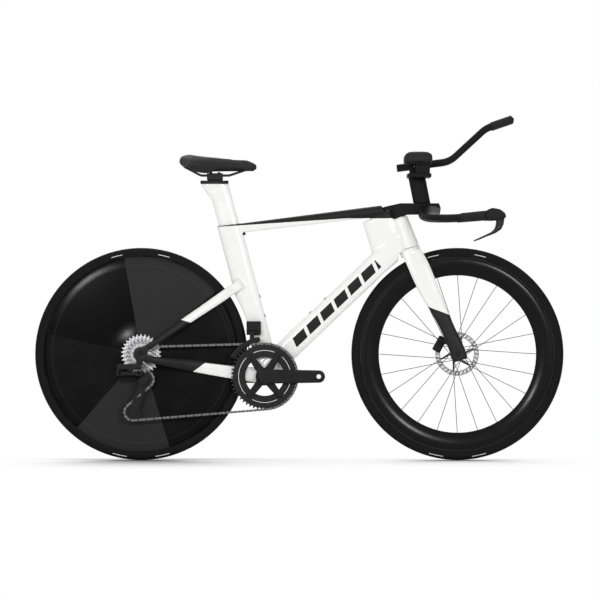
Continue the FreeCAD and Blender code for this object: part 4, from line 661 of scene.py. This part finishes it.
def copyOf(name, nodeNames):
    # one merged mesh from copies of CAD nodes
    clearSelection()
    copies = []
    for nodeName in nodeNames:
        part = bpy.data.objects.new(name, nodes[nodeName].data.copy())
        scene.collection.objects.link(part)
        part.select_set(True)
        copies.append(part)
    bpy.context.view_layer.objects.active = copies[0]
    if len(copies) > 1:
        bpy.ops.object.join()
    piece = bpy.context.view_layer.objects.active
    piece.name = name
    bpy.ops.object.mode_set(mode="EDIT")
    bpy.ops.mesh.select_all(action="SELECT")
    bpy.ops.mesh.remove_doubles(threshold=shaping["weld"])
    bpy.ops.object.mode_set(mode="OBJECT")
    return piece


def mould(piece, voxel, rounds):
    # one skin over the copy, with its inner corners filled and outer edges eased
    skin = piece.modifiers.new("skin", "REMESH")
    skin.mode = "VOXEL"
    skin.voxel_size = voxel
    ease = piece.modifiers.new("ease", "SMOOTH")
    ease.factor = shaping["easing"]
    ease.iterations = rounds
    applyAll(piece)
    bpy.ops.object.shade_smooth()


def dress(piece, finish, body, slot, *replaced):
    piece.data.materials.clear()
    piece.data.materials.append(finishes[finish])
    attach(piece, body)
    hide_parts(*replaced)


# pieces moulded over copies of CAD nodes: nodes, body, skin size, easing rounds, finish, slot
moulded = {
    "frameShell": (("front_triangle", "rear_triangle"), "frame", 0.0030, 8, "framePaint", "white_carbon"),
    "forkShell": (("fork",), "fork", 0.0022, 6, "forkPaint", "white_carbon"),
    "postShell": (("seatpost",), "seatpost", 0.0022, 6, "postPaint", "white_carbon"),
    "cockpitShell": (("stem", "stem_cover", "base_bar"), "fork", 0.0016, 8, "satinCarbon", "black_carbon"),
    "riserShell": (("riser",), "fork", 0.0014, 4, "satinCarbon", "black_carbon"),
    "plateShell": (("riser_plate",), "fork", 0.0011, 4, "satinCarbon", "black_carbon"),
    "armCupShell": (("arm_cups",), "fork", 0.0012, 3, "satinCarbon", "black_carbon"),
    "hoodShell": (("lever_bodies",), "fork", 0.0012, 30, "hoodRubber", "grip_rubber"),
    "leverBladeLeft": (("brake_lever_left",), "brake_lever_left", 0.0008, 8, "glossBlack", "black_carbon"),
    "leverBladeRight": (("brake_lever_right",), "brake_lever_right", 0.0008, 8, "glossBlack", "black_carbon"),
    "crankArmRight": (("crank_right",), "crank", 0.0012, 5, "crankBlack", "black_alloy"),
    "crankArmLeft": (("crank_left",), "crank", 0.0012, 5, "crankBlack", "black_alloy"),
    "mechMount": (("derailleur_mount",), "frame", 0.0007, 8, "blackAlloy", "black_alloy"),
    "mechOuterLink": (
        ("derailleur_outer_link",), "derailleur_outer_link", 0.0004, 3, "glossBlack", "black_alloy"),
    "mechInnerLink": (
        ("derailleur_inner_link",), "derailleur_inner_link", 0.0003, 4, "blackAlloy", "black_alloy"),
    "mechKnuckle": (("derailleur_knuckle",), "derailleur_knuckle", 0.0003, 4, "glossBlack", "black_alloy"),
    "mechCage": (("derailleur_cage",), "derailleur_cage", 0.0006, 3, "blackAlloy", "black_alloy"),
    "frontMechBody": (("front_derailleur_body",), "frame", 0.0007, 8, "blackAlloy", "black_alloy"),
    "frontMechCage": (
        ("front_derailleur_cage",), "front_derailleur_cage", 0.0005, 2, "blackAlloy", "black_alloy"),
    "rearCaliperShell": (("rear_caliper",), "frame", 0.0009, 6, "blackAlloy", "black_alloy"),
    "frontCaliperShell": (("front_caliper",), "fork", 0.0009, 6, "blackAlloy", "black_alloy"),
    "clampShell": (("saddle_clamp",), "saddle", 0.0009, 5, "blackAlloy", "black_alloy"),
    "trackPlate": (("saddle_track",), "seatpost", 0.0012, 4, "blackAlloy", "black_alloy"),
    "saddleShell": (("saddle_base",), "saddle", 0.0012, 3, "satinCarbon", "black_carbon"),
}

for name, (sources, body, voxel, rounds, finish, slot) in moulded.items():
    piece = copyOf(name, sources)
    mould(piece, voxel, rounds)
    dress(piece, finish, body, slot, *sources)
    print("moulded", name, len(piece.data.polygons), "faces")


# the cover's top ramps up from the top tube to the riser
ramp = {"start": (0.2700, 0.8087), "slope": 0.222, "end": 0.3215}
cockpit = bpy.data.objects["cockpitShell"]
for vertex in cockpit.data.vertices:
    if vertex.co.x < ramp["end"]:
        top = ramp["start"][1] + (vertex.co.x - ramp["start"][0]) * ramp["slope"]
        vertex.co.z = min(vertex.co.z, top)


# CAD nodes with curved faces, shown as merged copies with smooth shading: node, body, finish, slot
smoothed = {
    "rearTyreSkin": ("rear_tyre", "rear_wheel", "rearTyreRubber", "tyre_rubber"),
    "frontTyreSkin": ("front_tyre", "front_wheel", "frontTyreRubber", "tyre_rubber"),
    "rearDiscSkin": ("rear_disc", "rear_wheel", "discCarbon", "black_carbon"),
    "frontRimSkin": ("front_rim", "front_wheel", "rimCarbon", "black_carbon"),
    "frontHubSkin": ("front_hub", "front_wheel", "hubAlloy", "black_alloy"),
    "rearHubSkin": ("rear_hub", "rear_wheel", "blackAlloy", "black_alloy"),
    "extensionSkin": ("extension_tubes", "extensions", "satinCarbon", "black_carbon"),
    "extensionGripSkin": ("extension_grips", "extensions", "extensionTape", "grip_rubber"),
    "barGripSkin": ("bar_grips", "fork", "barTape", "grip_rubber"),
    "railSkin": ("saddle_rails", "saddle", "railBlack", "black_carbon"),
}

for name, (source, body, finish, slot) in smoothed.items():
    piece = copyOf(name, (source,))
    makeActive(piece)
    bpy.ops.object.shade_smooth_by_angle(angle=math.radians(shaping["smoothAngle"]))
    dress(piece, finish, body, slot, source)
    print("smoothed", name, len(piece.data.polygons), "faces")

# CAD nodes that keep their own mesh
kept = {
    "bottom_bracket_cups": "blackAlloy", "headset_bearings": "boltSteel", "seat_wedge": "blackAlloy",
    "bottle_inserts": "blackAlloy", "rear_thru_axle": "blackAlloy", "front_thru_axle": "blackAlloy",
    "chain_outer_links": "outerLinkSteel", "chain_inner_links": "innerLinkSteel",
    "guide_pulley": "blackAlloy", "tension_pulley": "blackAlloy", "cockpit_bolts": "boltSteel",
    "shift_button_left": "hoodRubber", "shift_button_right": "hoodRubber", "front_spokes": "spokeBlack",
    "front_rotor": "frontRotorSteel", "rear_rotor": "rearRotorSteel", "freehub": "blackAlloy",
    "cassette": "cogSteel", "large_chainring": "ringBlack", "small_chainring": "crankBlack",
    "chainring_bolts": "boltSteel",
}
for nodeName, finish in kept.items():
    mesh = nodes[nodeName].data
    mesh.materials.clear()
    mesh.materials.append(finishes[finish])
print("kept nodes:", len(kept))


# padded pieces

def swell(piece, pressure, cap):
    # cloth under pressure, with each point held within the cap of where it began
    before = [vertex.co.copy() for vertex in piece.data.vertices]
    cloth = piece.modifiers.new("swell", "CLOTH")
    cloth.settings.use_pressure = True
    cloth.settings.uniform_pressure_force = pressure
    cloth.settings.effector_weights.gravity = 0.0
    for step in range(1, shaping["clothSteps"] + 1):
        scene.frame_set(step)
    applyAll(piece)
    for vertex, start in zip(piece.data.vertices, before):
        move = vertex.co - start
        if move.length > cap:
            vertex.co = start + move.normalized() * cap
    scene.frame_set(1)


def subdivided(piece):
    finer = piece.modifiers.new("finer", "SUBSURF")
    finer.levels = 1
    finer.render_levels = 1
    applyAll(piece)
    bpy.ops.object.shade_smooth()


def clamped(value):
    return min(max(value, 0.0), 1.0)


saddle = {
    "voxel": 0.0045, "rounds": 3, "pressure": 4.0, "cap": 0.003, "shrink": 0.985,
    "flapX": -0.274, "flapReach": 0.085, "flapDrop": 0.013,
    "flapSide": 0.034, "flapSideSpan": 0.012, "flapTop": 0.945, "flapTopSpan": 0.018,
}


def saddlePad():
    piece = copyOf("saddlePad", ("saddle_pad",))
    low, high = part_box("saddle_pad")
    middle = (low + high) / 2
    for vertex in piece.data.vertices:
        vertex.co = middle + (vertex.co - middle) * saddle["shrink"]
    mould(piece, saddle["voxel"], saddle["rounds"])
    # side flaps hang lowest beside the clamp
    for vertex in piece.data.vertices:
        reach = 1.0 - clamped(abs(vertex.co.x - saddle["flapX"]) / saddle["flapReach"])
        side = clamped((abs(vertex.co.y) - saddle["flapSide"]) / saddle["flapSideSpan"])
        under = clamped((saddle["flapTop"] - vertex.co.z) / saddle["flapTopSpan"])
        vertex.co.z -= saddle["flapDrop"] * reach * side * under
    swell(piece, saddle["pressure"], saddle["cap"])
    subdivided(piece)
    dress(piece, "saddleCover", "saddle", "saddle_cover", "saddle_pad")
    print("saddle pad", len(piece.data.polygons), "faces")


armRest = {
    "voxel": 0.0045, "rounds": 3, "pressure": 4.0, "cap": 0.003, "shrink": 0.98,
    "side": 0.108, "seatGap": 0.0002,
}


def armPads():
    piece = copyOf("armPads", ("arm_pads",))
    low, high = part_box("arm_pads")
    for vertex in piece.data.vertices:
        side = math.copysign(armRest["side"], vertex.co.y)
        middle = Vector(((low.x + high.x) / 2, side, low.z))
        vertex.co = middle + (vertex.co - middle) * armRest["shrink"]
    mould(piece, armRest["voxel"], armRest["rounds"])
    swell(piece, armRest["pressure"], armRest["cap"])
    subdivided(piece)
    # flat where they rest on the cups
    for vertex in piece.data.vertices:
        vertex.co.z = max(vertex.co.z, low.z + armRest["seatGap"])
    dress(piece, "padFabric", "fork", "pad_fabric", "arm_pads")
    print("arm pads", len(piece.data.polygons), "faces")


saddlePad()
armPads()


# stage, light and camera

view = {"middle": (0.0022, 0.5115), "distance": 20.0, "width": 1.917, "sensor": 36.0, "clip": 200.0}

cameraData = bpy.data.cameras.new("camera")
cameraData.sensor_width = view["sensor"]
cameraData.lens = view["sensor"] * view["distance"] / view["width"]
cameraData.clip_end = view["clip"]
camera = bpy.data.objects.new("camera", cameraData)
camera.location = (view["middle"][0], -view["distance"], view["middle"][1])
camera.rotation_euler = (math.radians(90.0), 0.0, 0.0)
scene.collection.objects.link(camera)
scene.camera = camera

stage = {
    "worldLight": 0.36, "floorSize": 14.0, "floorDrop": 0.0005, "floorFall": 0.055, "floor": grey(0.92),
    "shadowReach": 0.42, "shadowSamples": 16, "shadowLine": (0.30, 0.99),
}


def seenDirectly(wire):
    # 1 where the camera, a reflection or a clear surface sees it, 0 where it only gives light
    path = wire.tree.nodes.new("ShaderNodeLightPath")
    names = ("Is Camera Ray", "Is Glossy Ray", "Is Transmission Ray")
    rays = [Wire(wire.tree, path.outputs[name]) for name in names]
    return (rays[0] + rays[1] + rays[2]).atMost(1.0)


def paleWorld():
    world = bpy.data.worlds.new("paleWorld")
    scene.world = world
    world.use_nodes = True
    tree = world.node_tree
    tree.nodes.clear()
    wire = Wire(tree)
    strength = stage["worldLight"] + seenDirectly(wire) * (1.0 - stage["worldLight"])
    light = wire.node("ShaderNodeBackground", None, {"Color": grey(1.0), "Strength": strength})
    out = tree.nodes.new("ShaderNodeOutputWorld")
    tree.links.new(light.socket, out.inputs[0])


def paleFloor():
    clearSelection()
    bpy.ops.mesh.primitive_grid_add(x_subdivisions=2, y_subdivisions=2, size=stage["floorSize"],
                                    location=(0.0, 0.0, -stage["floorDrop"]))
    floor = bpy.context.active_object
    floor.name = "floor"
    # the near half falls away gently, so that the level camera sees the painted contact shadow
    for vertex in floor.data.vertices:
        vertex.co.z += min(vertex.co.y, 0.0) * stage["floorFall"]
    material = bpy.data.materials.new("paleFloor")
    material.use_nodes = True
    tree = material.node_tree
    tree.nodes.clear()
    wire = Wire(tree)
    # seen directly, the floor glows with a painted contact shadow that darkens where ambient occlusion finds
    # the bike near; other rays see a plain pale floor
    paintedShadowOcclusion = wire.node("ShaderNodeAmbientOcclusion", {"samples": stage["shadowSamples"]},
                       {"Distance": stage["shadowReach"]}, 1)
    color = wire.shade(paintedShadowOcclusion.rise(*stage["shadowLine"]))
    glowWithPaintedShadow = wire.node("ShaderNodeEmission", None, {"Color": color, "Strength": 1.0})
    plain = wire.node("ShaderNodeBsdfDiffuse", None, {"Color": stage["floor"]})
    both = wire.node("ShaderNodeMixShader", None, {0: seenDirectly(wire), 1: plain, 2: glowWithPaintedShadow})
    out = tree.nodes.new("ShaderNodeOutputMaterial")
    tree.links.new(both.socket, out.inputs[0])
    floor.data.materials.append(material)


# soft lamps: place, aim, size and power
lamps = {
    "leftLamp": ((-1.45, -5.0, 1.45), (-0.4, 0.0, 0.4), 0.42, 70.0),
    "rightLamp": ((1.45, -5.0, 1.45), (0.4, 0.0, 0.4), 0.42, 70.0),
    "topLamp": ((0.0, 0.2, 4.0), (0.0, 0.0, 0.3), 2.0, 50.0),
    "backLamp": ((0.4, 3.6, 2.6), (0.0, 0.0, 0.5), 2.0, 36.0),
}


def softLamps():
    for name, (place, aim, size, power) in lamps.items():
        data = bpy.data.lights.new(name, "AREA")
        data.shape = "SQUARE"
        data.size = size
        data.energy = power
        lamp = bpy.data.objects.new(name, data)
        lamp.location = place
        lamp.rotation_euler = (Vector(aim) - Vector(place)).to_track_quat("-Z", "Y").to_euler()
        scene.collection.objects.link(lamp)


paleWorld()
paleFloor()
softLamps()
scene.view_settings.view_transform = "Standard"
print("stage set")

bpy.context.view_layer.update()
